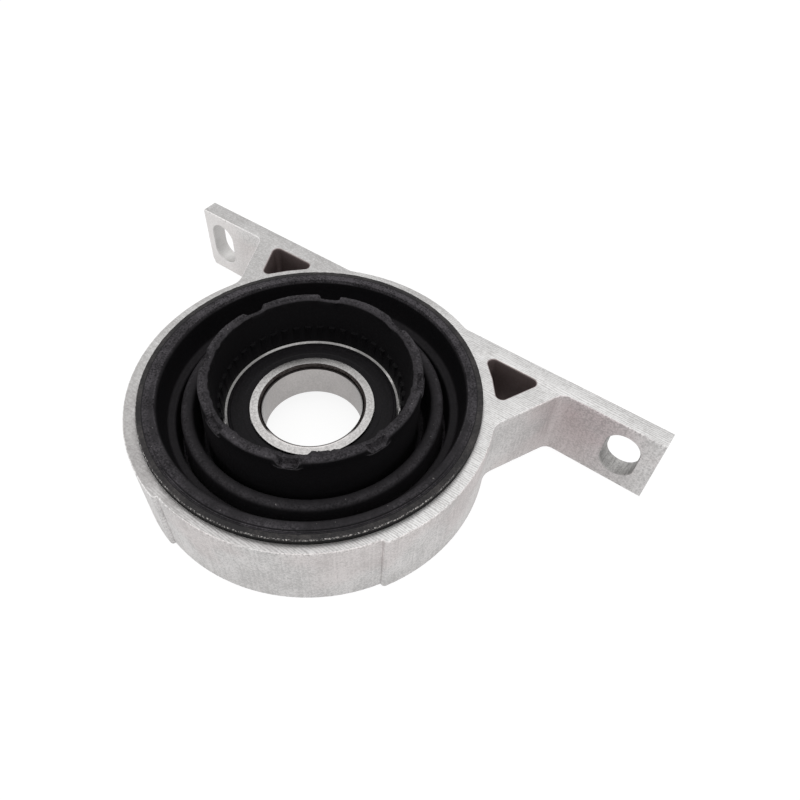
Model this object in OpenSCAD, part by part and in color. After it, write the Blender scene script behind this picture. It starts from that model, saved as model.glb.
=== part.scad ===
// Driveshaft centre bearing: a sealed ball bearing held by a rubber bellows inside an extruded bracket.
// The origin is the centre of the shaft bore, at the bearing's middle plane.
// +Z runs up the bore towards the collar's open end, +X along the mounting bar, +Y from the bore to the bar.

/* [Bearing] */
// Diameter of the shaft bore
bore_d = 30; // [26:0.5:34]
// Outer diameter of the bearing
bearing_od = 55; // [53:0.5:64]
// Width of the bearing
bearing_w = 13; // [12.5:0.1:18]
// Rounding of the rings' outer and bore corners
ring_corner = 1; // [0.4:0.1:1.2]
// Diameter of a ball
ball_d = 7.144; // [6.6:0.001:7.5]
// Number of balls, and of rivets between them
ball_count = 11; // [11:1:11]
// Play between a ball and each raceway
ball_play = 0.1; // [0.05:0.01:0.15]
// Raceway radius as a share of the ball's diameter
groove_ratio = 0.52; // [0.515:0.001:0.53]
// Gap between the two rings' shoulders
shoulder_gap = 4.4; // [4:0.1:4.8]
// Wall of the inner ring under the seal lip
seal_land_wall = 3.5; // [3.2:0.1:3.9]
// Wall of the outer ring around the seal
seal_seat_wall = 2.3; // [2:0.1:2.6]

/* [Seals] */
// Thickness of a seal
seal_t = 1.1; // [0.9:0.05:1.3]
// Depth of a seal below the ring's face
seal_inset = 0.4; // [0.2:0.05:0.5]
// Height of the bead that snaps into the outer ring
seal_bead = 0.4; // [0.2:0.05:0.6]
// Width of the bevel at the mouth of a seal's seat
seat_lead = 0.6; // [0.3:0.1:0.7]
// Play between the seal lip and the inner ring
seal_play = 0.1; // [0.05:0.01:0.2]
// Width of the thin lip
seal_lip_w = 1.2; // [0.8:0.1:2]
// Thickness of the thin lip
seal_lip_t = 0.6; // [0.4:0.05:0.8]

/* [Cage] */
// Sheet thickness of a cage half
cage_t = 0.6; // [0.4:0.05:0.7]
// Play between a ball and its pocket
pocket_play = 0.15; // [0.1:0.01:0.25]
// Gap between the cage and the rings' shoulders
cage_gap = 0.45; // [0.3:0.05:0.6]
// Diameter of a rivet's shank
rivet_d = 1.1; // [0.8:0.1:1.4]
// Diameter of a rivet's heads
rivet_head_d = 1.9; // [1.6:0.1:2.2]
// Height of a rivet's heads
rivet_head_h = 0.4; // [0.2:0.05:0.6]

/* [Bearing carrier] */
// Sheet thickness of the carrier's wall
carrier_t = 1.5; // [1:0.1:2]
// Thickness of the lip under the bearing
carrier_lip_t = 0.8; // [0.5:0.1:1]
// Reach of the lip under the outer ring
carrier_lip_reach = 1.5; // [0.8:0.1:2]
// Height of the carrier's wall above the bearing
carrier_rise = 3.5; // [2:0.5:4]

/* [Rubber bellows] */
// Clearance between the rubber and the carrier that it is bonded to
bond_gap = 0.05; // [0.02:0.01:0.1]
// Rubber over the carrier's wall
collar_cover = 2.9; // [2:0.1:4]
// Height of the collar's top above the bearing's face
collar_rise = 14.6; // [12:0.2:18]
// Width of the collar's top
collar_lip_w = 2.9; // [2:0.1:3.4]
// Rubber over the edge of the bearing's outer ring
bearing_cover = 1.2; // [0.9:0.1:1.6]
// Number of small ribs on the collar's inner wall
rib_count = 45; // [20:1:48]
// Angle of the first rib from +X
rib_turn = 4.2; // [0:0.1:8]
// Width of a rib
rib_w = 1.7; // [1:0.1:2]
// Height of a rib's top above the bearing
rib_rise = 5.4; // [4.5:0.1:8]
// Depth of a rib's upright face behind the collar's lower edge
rib_inset = 0.15; // [0.1:0.05:0.3]
// Number of stop pads around the collar's top
pad_count = 8; // [4:1:12]
// Angle of the first pad from +X
pad_turn = 6.5; // [0:0.5:45]
// Width of the notch between two pads, at the collar's outside
notch_w = 6.8; // [4:0.2:9]
// Narrowing of the notch towards its root
notch_taper = 1.6; // [0:0.1:2.4]
// Depth of a notch
notch_h = 2.3; // [1:0.1:4]
// Wall left inside a notch
web_t = 1.1; // [0.6:0.1:1.6]
// Width of the groove between the collar and the fold
inner_valley_w = 2.85; // [2.3:0.05:4]
// Width of the fold's crest
fold_w = 3.65; // [3:0.05:5]
// Spread of each flank of the fold towards its foot
fold_flare = 0.9; // [0.3:0.1:1.1]
// Wall of the fold beside its hollow
fold_wall = 1.3; // [0.9:0.05:1.4]
// Width of the groove between the fold and the ledge
outer_valley_w = 1.9; // [1.7:0.05:4]
// Width of the ledge below the rim
ledge_w = 2.5; // [1:0.1:3]
// Run of the sloping wall from the ledge to the rim
rim_slope = 1.8; // [0.5:0.1:3]
// Width of the rim's rubber
rim_w = 3.3; // [2.5:0.1:5]
// Depth of the fold's crest below the rim
crest_drop = 5.6; // [4:0.2:8]
// Depth of the ledge below the rim
ledge_drop = 8.8; // [6:0.2:11]
// Thickness of the membrane under the grooves
membrane_t = 2.4; // [1.6:0.1:3]
// Rounding of the rim's inner edge
rim_round = 1.5; // [0.5:0.1:1.8]
// Largest rounding of the rubber's other edges
rubber_round = 0.9; // [0.4:0.1:1.2]

/* [Outer sleeve] */
// Wall of the steel sleeve
sleeve_t = 1.6; // [1:0.1:2.5]
// Height of the sleeve's top above the bracket
sleeve_proud = 1.9; // [1:0.1:3]
// Depth of the sleeve's lower end inside the bracket
sleeve_inset = 1; // [0.5:0.1:2]
// Rounding of the sleeve's ends
sleeve_round = 0.4; // [0.2:0.05:0.7]

/* [Bracket] */
// Height of the sawn extrusion
bracket_h = 25; // [23:0.5:34]
// Depth of the bracket's lower face below the bearing
under_room = 5; // [4.8:0.1:8]
// Wall of the ring around the sleeve
ring_wall = 3.9; // [3:0.1:6]
// Depth of the shallow recess along the front of the ring
recess_depth = 1.1; // [0.4:0.1:1.8]
// Angle at which the recess starts
recess_from = -100; // [-120:1:-80]
// Angle at which the recess ends
recess_to = -29; // [-50:1:-10]
// Thickness of the mounting bar
bar_t = 5.8; // [4:0.1:8]
// Depth of the bar's back face behind the ring's outermost point
bar_inset = 5.1; // [3:0.1:8]
// Distance between the centres of the two slots
slot_spacing = 160; // [156:1:190]
// Width of a slot
slot_w = 10; // [8:0.2:11]
// Length of a slot from end to end
slot_len = 16.5; // [14:0.5:19]
// Distance from the left slot's centre to that end of the bar
left_ear_end = 8.1; // [8:0.1:16]
// Distance from the right slot's centre to that end of the bar
right_ear_end = 10; // [8:0.1:16]
// Width of the clipped lower corner of the left ear
clip_w = 1; // [0.4:0.1:2]
// Height of the clipped lower corner of the left ear
clip_h = 3; // [1:0.1:4]
// Thickness of a strut
strut_t = 6.3; // [4:0.1:8]
// Lean of a strut from the Y direction
strut_lean = 25; // [18:0.5:32]
// Distance from the ring's side to the foot of a strut on the bar
strut_out = 5.8; // [3:0.1:9]
// Fillet between a strut and the bar, outside
bar_fillet = 3.5; // [1:0.1:6]
// Fillet between a strut and the ring, outside
ring_fillet = 6; // [2:0.1:8]
// Fillet between the bar's back face and the ring
back_fillet = 4; // [1:0.1:6]
// Corner radius of the triangular windows
window_fillet = 1.8; // [0.8:0.1:2.4]

/* [Hidden] */
$fn = 96;
// Steps along a rounded corner of a revolved section
arc_steps = 6;
// Overlap that carries a cut past a face
cut = 1;
// Depth to which a fillet's material runs into its walls
sink = 0.5;
// Depth to which a fillet's circle crosses its walls, so that they meet in a clean edge
bite = 0.01;
// Most of a wall that two roundings may take up, each
round_share = 0.4;

// Bearing sizes
bore_r = bore_d / 2;
bearing_r = bearing_od / 2;
half_w = bearing_w / 2;
pitch_r = (bore_r + bearing_r) / 2;
ball_r = ball_d / 2;
groove_r = groove_ratio * ball_d;
inner_groove_r = pitch_r - ball_r - ball_play + groove_r;
outer_groove_r = pitch_r + ball_r + ball_play - groove_r;
inner_land_r = pitch_r - shoulder_gap / 2;
outer_land_r = pitch_r + shoulder_gap / 2;
seal_land_r = bore_r + seal_land_wall;
seal_seat_r = bearing_r - seal_seat_wall;
seal_top = half_w - seal_inset;
seal_low = seal_top - seal_t;
seal_mid = seal_low + seal_t / 2;
ball_step = 360 / ball_count;
pocket_r = ball_r + pocket_play;
cage_in_r = inner_land_r + cage_gap;
cage_out_r = outer_land_r - cage_gap;

// Rubber radii, from the carrier outwards
carrier_r = bearing_r + carrier_t;
collar_r = carrier_r + collar_cover;
lip_in_r = collar_r - collar_lip_w;
cover_in_r = bearing_r - bearing_cover;
fold_in_r = collar_r + inner_valley_w;
fold_out_r = fold_in_r + fold_w;
ledge_in_r = fold_out_r + outer_valley_w;
ledge_out_r = ledge_in_r + ledge_w;
rim_in_r = ledge_out_r + rim_slope;
sleeve_in_r = rim_in_r + rim_w;
sleeve_r = sleeve_in_r + sleeve_t;
ring_r = sleeve_r + ring_wall;

// Heights
bracket_low = -half_w - under_room;
bracket_top = bracket_low + bracket_h;
sleeve_low = bracket_low + sleeve_inset;
rubber_low = sleeve_low + sleeve_inset;
rim_z = bracket_top + sleeve_proud;
crest_z = rim_z - crest_drop;
ledge_z = rim_z - ledge_drop;
web_low = -half_w;
valley_z = web_low + membrane_t;
lip_z = half_w + collar_rise;
carrier_top = half_w + carrier_rise;

// Rubber roundings, limited by the walls that they lie on
hollow_w = fold_w - 2 * fold_wall;
inner_floor_round = min(rubber_round, round_share * (inner_valley_w - fold_flare));
outer_floor_round = min(rubber_round, round_share * (outer_valley_w - fold_flare));
crest_round = min(rubber_round, round_share * fold_w);
ledge_round = min(rubber_round, round_share * ledge_w);
lip_round = min(rubber_round, round_share * collar_lip_w) / 2;
hollow_round = min(rubber_round, round_share * hollow_w);

// Bracket sizes
bar_back_y = ring_r - bar_inset;
bar_front_y = bar_back_y - bar_t;
bar_left_x = -slot_spacing / 2 - left_ear_end;
bar_right_x = slot_spacing / 2 + right_ear_end;
strut_foot = [ring_r + strut_out, bar_front_y];
strut_root = strut_foot - [strut_t / cos(strut_lean), 0];
strut_dir = [-sin(strut_lean), -cos(strut_lean)];
strut_out_dir = [cos(strut_lean), -sin(strut_lean)];
strut_len = bar_front_y / cos(strut_lean) / 2;
recess_r = ring_r - recess_depth;

BALLS = [for (i = [1 : ball_count]) str("ball_", i)];

function unit(v) = v / norm(v);
function flat(p) = [p.x, p.y];
function turn(v, a) = [v.x * cos(a) - v.y * sin(a), v.x * sin(a) + v.y * cos(a)];

// Points of the arc that rounds the corner b between a and c
function arc_at(a, b, c, r) =
    let (u = unit(a - b),
         v = unit(c - b),
         half = acos(u * v) / 2,
         centre = b + unit(u + v) * r / sin(half),
         first = b + u * r / tan(half) - centre,
         last = b + v * r / tan(half) - centre,
         sweep = (180 - 2 * half) * sign(cross(first, last)))
    [for (i = [0 : arc_steps]) centre + turn(first, sweep * i / arc_steps)];

// An outline from corners [x, y, rounding]
function rounded(path) = [
    for (i = [0 : len(path) - 1])
        let (n = len(path),
             before = flat(path[(i + n - 1) % n]),
             here = flat(path[i]),
             after = flat(path[(i + 1) % n]))
        each path[i].z > 0 ? arc_at(before, here, after, path[i].z) : [here]
];

// Where the line from p along d lies at distance r from the axis, on its near (-1) or far (1) side
function reach(p, d, r, side) = p + d * (side * sqrt((p * d) * (p * d) - p * p + r * r) - p * d);

// A ring of a section given as corners [radius, height, rounding]
module revolve(path) {
    rotate_extrude() polygon(rounded(path));
}

// The same child at each ball's place
module at_ball(i) {
    rotate(i * ball_step) translate([pitch_r, 0, 0]) children();
}

// The same child midway between two balls
module at_rivet(i) {
    at_ball(i + 0.5) children();
}

module tube(r_in, r_out, low, high) {
    difference() {
        translate([0, 0, low]) cylinder(r = r_out, h = high - low);
        translate([0, 0, low - cut]) cylinder(r = r_in, h = high - low + 2 * cut);
    }
}

// Material that rounds the inner corner between two straight walls, which leave it along a and b
module line_fillet(corner, a, b, r) {
    half = acos(a * b) / 2;
    bisector = unit(a + b);
    centre = corner + bisector * r / sin(half);
    foot_a = unit(corner + a * r / tan(half) - centre);
    foot_b = unit(corner + b * r / tan(half) - centre);
    difference() {
        polygon([centre, centre + foot_a * (r + sink), corner - bisector * sink,
                 centre + foot_b * (r + sink)]);
        translate(centre) circle(r = r + bite);
    }
}

// Material that rounds the inner corner between the ring and a straight wall through p along d, facing n
module ring_corner_fillet(p, d, n, r, side) {
    centre = reach(p + n * r, d, ring_r + r, side);
    corner = reach(p, d, ring_r, side);
    difference() {
        polygon([centre, centre - n * (r + sink), corner - (n + unit(corner)) * sink,
                 unit(centre) * (ring_r - sink)]);
        translate(centre) circle(r = r + bite);
    }
}

// The bracket's full height of a flat outline
module slab() {
    translate([0, 0, bracket_low]) linear_extrude(bracket_h) children();
}

// One strut between the bar and the ring, with the fillets around it and its window
module strut() {
    slab() polygon([strut_foot - strut_dir, strut_foot + strut_dir * strut_len,
                    strut_root + strut_dir * strut_len, strut_root - strut_dir]);
    slab() line_fillet(strut_foot, [1, 0], strut_dir, bar_fillet);
    slab() line_fillet(strut_root, [-1, 0], strut_dir, window_fillet);
    slab() ring_corner_fillet(strut_foot, strut_dir, strut_out_dir, ring_fillet, -1);
    slab() ring_corner_fillet(strut_root, strut_dir, -strut_out_dir, window_fillet, -1);
    slab() ring_corner_fillet([0, bar_front_y], [1, 0], [0, -1], window_fillet, 1);
    slab() ring_corner_fillet([0, bar_back_y], [1, 0], [0, 1], back_fillet, 1);
}

// The shallow recess, with rounded shoulders at both ends
module recess_section() {
    reach_r = 2 * ring_r;
    middle = (recess_from + recess_to) / 2;
    difference() {
        polygon([[0, 0], for (a = [recess_from, middle, recess_to]) reach_r * [cos(a), sin(a)]]);
        circle(r = recess_r);
        for (a = [recess_from, recess_to]) {
            rotate(a) translate([recess_r, 0]) circle(r = recess_depth);
        }
    }
}

// A bolt slot through the bar, long in Z
module slot_cut() {
    straight = slot_len - slot_w;
    translate([0, bar_back_y + cut, bracket_low + bracket_h / 2]) rotate([90, 0, 0])
        linear_extrude(bar_t + 2 * cut) {
            translate([-slot_w / 2, -straight / 2]) square([slot_w, straight]);
            for (s = [-1, 1]) translate([0, s * straight / 2]) circle(r = slot_w / 2);
        }
}

// Material that is clipped off the left ear's lower corner
module clipped_corner() {
    translate([bar_left_x, bar_back_y + cut, bracket_low]) rotate([90, 0, 0])
        linear_extrude(bar_t + 2 * cut)
            polygon([[-cut, -cut], [clip_w * (1 + cut / clip_h), -cut],
                     [-cut, clip_h * (1 + cut / clip_w)]]);
}

module bracket() {
    color([0.78, 0.77, 0.75])
        difference() {
            union() {
                slab() circle(r = ring_r);
                slab() translate([bar_left_x, bar_front_y]) square([bar_right_x - bar_left_x, bar_t]);
                for (s = [0, 1]) mirror([s, 0, 0]) strut();
            }
            translate([0, 0, bracket_low - cut]) cylinder(r = sleeve_r, h = bracket_h + 2 * cut);
            slab() recess_section();
            for (s = [-1, 1]) translate([s * slot_spacing / 2, 0, 0]) slot_cut();
            clipped_corner();
        }
}

module outer_sleeve() {
    color([0.2, 0.2, 0.21])
        revolve([[sleeve_in_r, sleeve_low, 0], [sleeve_r, sleeve_low, sleeve_round],
                 [sleeve_r, rim_z, sleeve_round], [sleeve_in_r, rim_z, 0]]);
}

// Section of the moulding: collar, grooves, fold, ledge and rim, then the underside back to the carrier
function bellows_path() = [
    [cover_in_r, half_w + bond_gap, 0],
    [lip_in_r, lip_z, lip_round],
    [collar_r, lip_z, lip_round],
    [collar_r, valley_z, inner_floor_round],
    [fold_in_r - fold_flare, valley_z, inner_floor_round],
    [fold_in_r, crest_z, crest_round],
    [fold_out_r, crest_z, crest_round],
    [fold_out_r + fold_flare, valley_z, outer_floor_round],
    [ledge_in_r, valley_z, outer_floor_round],
    [ledge_in_r, ledge_z, ledge_round],
    [ledge_out_r, ledge_z, ledge_round],
    [rim_in_r, rim_z, rim_round],
    [sleeve_in_r, rim_z, 0],
    [sleeve_in_r, rubber_low, 0],
    [rim_in_r, rubber_low, rubber_round],
    [ledge_out_r, web_low, rubber_round],
    [fold_out_r + fold_flare - fold_wall, web_low, rubber_round],
    [fold_out_r - fold_wall, crest_z - fold_wall, hollow_round],
    [fold_in_r + fold_wall, crest_z - fold_wall, hollow_round],
    [fold_in_r - fold_flare + fold_wall, web_low, rubber_round],
    [carrier_r + bond_gap, web_low, 0],
    [carrier_r + bond_gap, carrier_top + bond_gap, 0],
    [bearing_r - bond_gap, carrier_top + bond_gap, 0],
    [bearing_r - bond_gap, half_w + bond_gap, 0]
];

// A notch in the collar's top that leaves the inner web standing
module pad_notch() {
    root_r = lip_in_r + web_t;
    translate([0, 0, lip_z - notch_h]) linear_extrude(notch_h + cut)
        polygon([[root_r, -(notch_w - notch_taper) / 2], [collar_r + cut, -notch_w / 2],
                 [collar_r + cut, notch_w / 2], [root_r, (notch_w - notch_taper) / 2]]);
}

// Radius of the collar's tapering inner wall at a height above the bearing
function inner_wall_r(rise) = cover_in_r + (lip_in_r - cover_in_r) * rise / collar_rise;

// A rib with an upright face, which the tapering wall leaves standing proud towards its top
module inner_rib() {
    low = rib_inset;
    rotate([90, 0, 0]) translate([0, half_w, -rib_w / 2]) linear_extrude(rib_w)
        polygon([[cover_in_r + rib_inset, low], [inner_wall_r(low) + 2 * rib_inset, low],
                 [inner_wall_r(rib_rise) + 2 * rib_inset, rib_rise], [cover_in_r + rib_inset, rib_rise]]);
}

module rubber_bellows() {
    color([0.08, 0.08, 0.09]) {
        difference() {
            revolve(bellows_path());
            for (i = [0 : pad_count - 1]) rotate(pad_turn + (i + 0.5) * 360 / pad_count) pad_notch();
        }
        for (i = [0 : rib_count - 1]) rotate(rib_turn + i * 360 / rib_count) inner_rib();
    }
}

module bearing_carrier() {
    low = -half_w - carrier_lip_t;
    color([0.42, 0.42, 0.43])
        revolve([[bearing_r - carrier_lip_reach, low, 0], [carrier_r, low, carrier_lip_t],
                 [carrier_r, carrier_top, 0], [bearing_r, carrier_top, 0], [bearing_r, -half_w, 0],
                 [bearing_r - carrier_lip_reach, -half_w, 0]]);
}

// The torus that a raceway is ground to
module raceway(r) {
    rotate_extrude() translate([r, 0]) circle(r = groove_r);
}

module outer_race() {
    bead_r = seal_seat_r + seal_bead;
    color([0.74, 0.72, 0.69])
        difference() {
            revolve([[outer_land_r, -half_w, 0], [bearing_r, -half_w, ring_corner],
                     [bearing_r, half_w, ring_corner], [outer_land_r, half_w, 0]]);
            raceway(outer_groove_r);
            for (s = [0, 1]) mirror([0, 0, s]) {
                translate([0, 0, seal_low]) cylinder(r = seal_seat_r, h = half_w);
                translate([0, 0, seal_low]) cylinder(r = bead_r, h = seal_t / 2);
                translate([0, 0, seal_top])
                    cylinder(r1 = seal_seat_r, r2 = seal_seat_r + 2 * seat_lead, h = 2 * seal_inset);
            }
        }
}

module inner_race() {
    color([0.76, 0.74, 0.71])
        difference() {
            revolve([[bore_r, -half_w, ring_corner], [seal_land_r, -half_w, 0], [seal_land_r, -seal_low, 0],
                     [inner_land_r, -seal_low, 0], [inner_land_r, seal_low, 0], [seal_land_r, seal_low, 0],
                     [seal_land_r, half_w, 0], [bore_r, half_w, ring_corner]]);
            raceway(inner_groove_r);
        }
}

// A seal for the upper side: bead, disc and thin lip
module seal() {
    lip_r = max(seal_land_r, inner_land_r) + seal_play;
    tip_r = seal_land_r + seal_play;
    color([0.1, 0.1, 0.11])
        revolve([[tip_r, seal_mid, 0], [lip_r, seal_mid, 0], [lip_r + seal_lip_w, seal_low, 0],
                 [seal_seat_r + seal_bead, seal_low, 0], [seal_seat_r + seal_bead, seal_mid, 0],
                 [seal_seat_r, seal_mid, 0], [seal_seat_r, seal_top, 0],
                 [lip_r + seal_lip_w, seal_top, 0], [tip_r, seal_mid + seal_lip_t / 2, 0]]);
}

module front_seal() {
    seal();
}

module rear_seal() {
    mirror([0, 0, 1]) seal();
}

// The cup that a cage half has over one ball
module cage_cup(i) {
    difference() {
        intersection() {
            at_ball(i) sphere(r = pocket_r + cage_t);
            tube(cage_in_r, cage_out_r, 0, pocket_r + 2 * cage_t);
        }
        at_ball(i) sphere(r = pocket_r);
    }
}

// Upper half of the pressed cage: a flat ring with a cup over each ball
module cage_half() {
    color([0.6, 0.58, 0.53]) {
        difference() {
            tube(cage_in_r, cage_out_r, 0, cage_t);
            for (i = [0 : ball_count - 1]) {
                at_ball(i) sphere(r = pocket_r);
                at_rivet(i) translate([0, 0, -cut]) cylinder(d = rivet_d, h = cage_t + 2 * cut);
            }
        }
        for (i = [0 : ball_count - 1]) cage_cup(i);
    }
}

module cage_front() {
    cage_half();
}

module cage_rear() {
    mirror([0, 0, 1]) cage_half();
}

module cage_rivets() {
    color([0.66, 0.65, 0.62])
        for (i = [0 : ball_count - 1]) at_rivet(i) {
            translate([0, 0, -cage_t]) cylinder(d = rivet_d, h = 2 * cage_t);
            for (s = [0, 1]) mirror([0, 0, s]) translate([0, 0, cage_t])
                cylinder(d = rivet_head_d, h = rivet_head_h);
        }
}

module ball(i) {
    color([0.8, 0.8, 0.82]) at_ball(i) sphere(r = ball_r);
}

bracket();
outer_sleeve();
rubber_bellows();
bearing_carrier();
outer_race();
inner_race();
front_seal();
rear_seal();
cage_front();
cage_rear();
cage_rivets();
for (i = [0 : ball_count - 1]) ball(i);
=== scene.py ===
"""Looks of a driveshaft centre bearing: extruded bracket, rubber bellows and sealed ball bearing.

Sizes in the classes are millimetres in the part's own frame: the origin is the centre of the
shaft bore, +Z runs up the bore and +X along the mounting bar. MM turns them into metres.
"""
import logging
import math
from dataclasses import dataclass
from enum import Enum
from typing import NamedTuple, Union

import bpy
import numpy as np
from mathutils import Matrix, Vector
from mathutils.geometry import delaunay_2d_cdt


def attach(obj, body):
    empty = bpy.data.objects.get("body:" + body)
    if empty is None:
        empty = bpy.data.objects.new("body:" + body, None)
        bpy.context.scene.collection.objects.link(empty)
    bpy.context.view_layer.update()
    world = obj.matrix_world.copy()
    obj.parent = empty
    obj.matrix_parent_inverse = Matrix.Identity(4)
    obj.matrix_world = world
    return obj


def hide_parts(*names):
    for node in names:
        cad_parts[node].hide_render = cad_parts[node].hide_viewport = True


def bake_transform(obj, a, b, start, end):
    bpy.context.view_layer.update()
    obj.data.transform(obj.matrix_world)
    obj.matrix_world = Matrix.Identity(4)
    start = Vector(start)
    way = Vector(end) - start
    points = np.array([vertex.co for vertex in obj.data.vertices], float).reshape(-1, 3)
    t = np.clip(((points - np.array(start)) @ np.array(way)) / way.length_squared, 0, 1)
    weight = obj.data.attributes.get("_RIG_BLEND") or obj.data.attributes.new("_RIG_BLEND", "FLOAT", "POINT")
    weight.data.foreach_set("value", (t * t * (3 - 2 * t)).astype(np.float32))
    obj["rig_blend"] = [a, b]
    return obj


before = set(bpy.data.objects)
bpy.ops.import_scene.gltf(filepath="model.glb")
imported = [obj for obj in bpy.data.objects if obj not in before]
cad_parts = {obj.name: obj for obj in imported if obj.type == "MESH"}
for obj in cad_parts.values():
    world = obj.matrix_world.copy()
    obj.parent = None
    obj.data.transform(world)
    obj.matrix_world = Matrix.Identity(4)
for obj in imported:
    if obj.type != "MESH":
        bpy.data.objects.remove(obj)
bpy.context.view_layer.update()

LOG = logging.getLogger("centre_bearing")
MM = 0.001
TURN = 2.0 * math.pi
# Slack for telling a section's faces apart, and the gap under which two points are one.
NEAR_MM = 0.1
SAME_MM = 1e-4
# The Mix node's two colour inputs and its colour output.
MIX_A, MIX_B, MIX_OUT = 6, 7, 2
WHITE = (1.0, 1.0, 1.0, 1.0)

Array = np.ndarray
Number = Union[int, float]
Colour = tuple[float, float, float]
Span = tuple[float, float]
Orders = tuple[int, int]
Spot = tuple[float, float, float]
Fillet = tuple[Array, Array, Array]


class Body(str, Enum):
    """Moving bodies that pieces ride on."""

    BRACKET = "bracket"
    HUB = "hub"


class Slot(str, Enum):
    """The record's material slots."""

    EXTRUSION = "extrusion"
    COATED = "coated_steel"
    RUBBER = "rubber"
    SEAL = "seal"


class Mark(str, Enum):
    """Point attributes that the finishes read."""

    # Edge wear: bright burrs and chips, which on the sleeve gather towards the front as a painted glint.
    EDGE = "edge_wear"
    # Painted shade: in the bracket's windows and at the sleeve's foot.
    PAINTED_SHADE = "pocket"
    # Mould dust, and painted light that lifts the rubber's hollows.
    DUST_AND_PAINTED_LIGHT = "dust"


class Ray(str, Enum):
    """Kinds of light ray that the white surroundings tell apart."""

    CAMERA = "Is Camera Ray"
    GLOSSY = "Is Glossy Ray"
    THROUGH = "Is Transmission Ray"


def smooth_step(low: Number, high: Number, x: Array) -> Array:
    """Cubic ramp t * t * (3 - 2 * t), from 0 at low to 1 at high.

    Args:
        low: Where the ramp starts.
        high: Where the ramp ends.
        x: Values along it.

    Returns:
        The ramp's height at each value.
    """
    t = np.clip((x - low) / (high - low), 0.0, 1.0)
    return t * t * (3.0 - 2.0 * t)


def ripple(angle: Array, seed: int, orders: Orders, count: int = 12) -> Array:
    """Sum of sines of whole orders round a turn, with seeded orders and phases.

    Args:
        angle: Angles in radians.
        seed: Seed of the draw, so that each run gives the same ripple.
        orders: Lowest and highest number of waves in a turn.
        count: How many sines are added.

    Returns:
        A value for each angle, mostly between -1 and 1.
    """
    rng = np.random.default_rng(seed)
    waves = rng.integers(orders[0], orders[1], size=count)
    phases = rng.uniform(0.0, TURN, size=count)
    return np.sin(angle[..., None] * waves + phases).sum(axis=-1) / math.sqrt(count)


def facing(angles: Array, degrees: float) -> Array:
    """How far each angle in radians faces a direction: its cosine, or 0 past a right angle."""
    return np.clip(np.cos(angles - math.radians(degrees)), 0.0, 1.0)


def polar(radius: Number, degrees: Union[Number, Array]) -> Array:
    """Points at a radius and at angles in degrees, as rows of x and y."""
    a = np.radians(degrees)
    return np.stack([radius * np.cos(a), radius * np.sin(a)], axis=-1)


def unit(v: Array) -> Array:
    """The vector's direction."""
    return v / np.linalg.norm(v)


def reach(p: Array, d: Array, radius: float, side: int) -> Array:
    """Where the line from p along d lies at a radius from the axis.

    The distance along d solves |p + t * d| = radius.

    Args:
        p: A point on the line.
        d: The line's unit direction.
        radius: Distance from the axis.
        side: -1 for the nearer solution along d, 1 for the farther one.

    Returns:
        The point.
    """
    along = p @ d
    return p + d * (side * math.sqrt(along * along - p @ p + radius * radius) - along)


def bearing_of(v: Array) -> float:
    """Angle of a vector from +X, in degrees."""
    return math.degrees(math.atan2(v[1], v[0]))


class Wire:
    """A shader socket that takes part in Python arithmetic and adds the Math nodes for it."""

    def __init__(self, board: "Board", socket: bpy.types.NodeSocket) -> None:
        """Wraps an output socket of a board's node."""
        self.board = board
        self.socket = socket

    def __add__(self, other: "Value") -> "Wire":
        """self + other."""
        return self.board.math("ADD", self, other)

    def __sub__(self, other: "Value") -> "Wire":
        """self - other."""
        return self.board.math("SUBTRACT", self, other)

    def __rsub__(self, other: "Value") -> "Wire":
        """other - self."""
        return self.board.math("SUBTRACT", other, self)

    def __mul__(self, other: "Value") -> "Wire":
        """self * other."""
        return self.board.math("MULTIPLY", self, other)

    def __gt__(self, other: "Value") -> "Wire":
        """1 where self is above other, else 0."""
        return self.board.math("GREATER_THAN", self, other)

    def __lt__(self, other: "Value") -> "Wire":
        """1 where self is below other, else 0."""
        return self.board.math("LESS_THAN", self, other)

    __radd__ = __add__
    __rmul__ = __mul__


Value = Union[Wire, Number]


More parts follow.
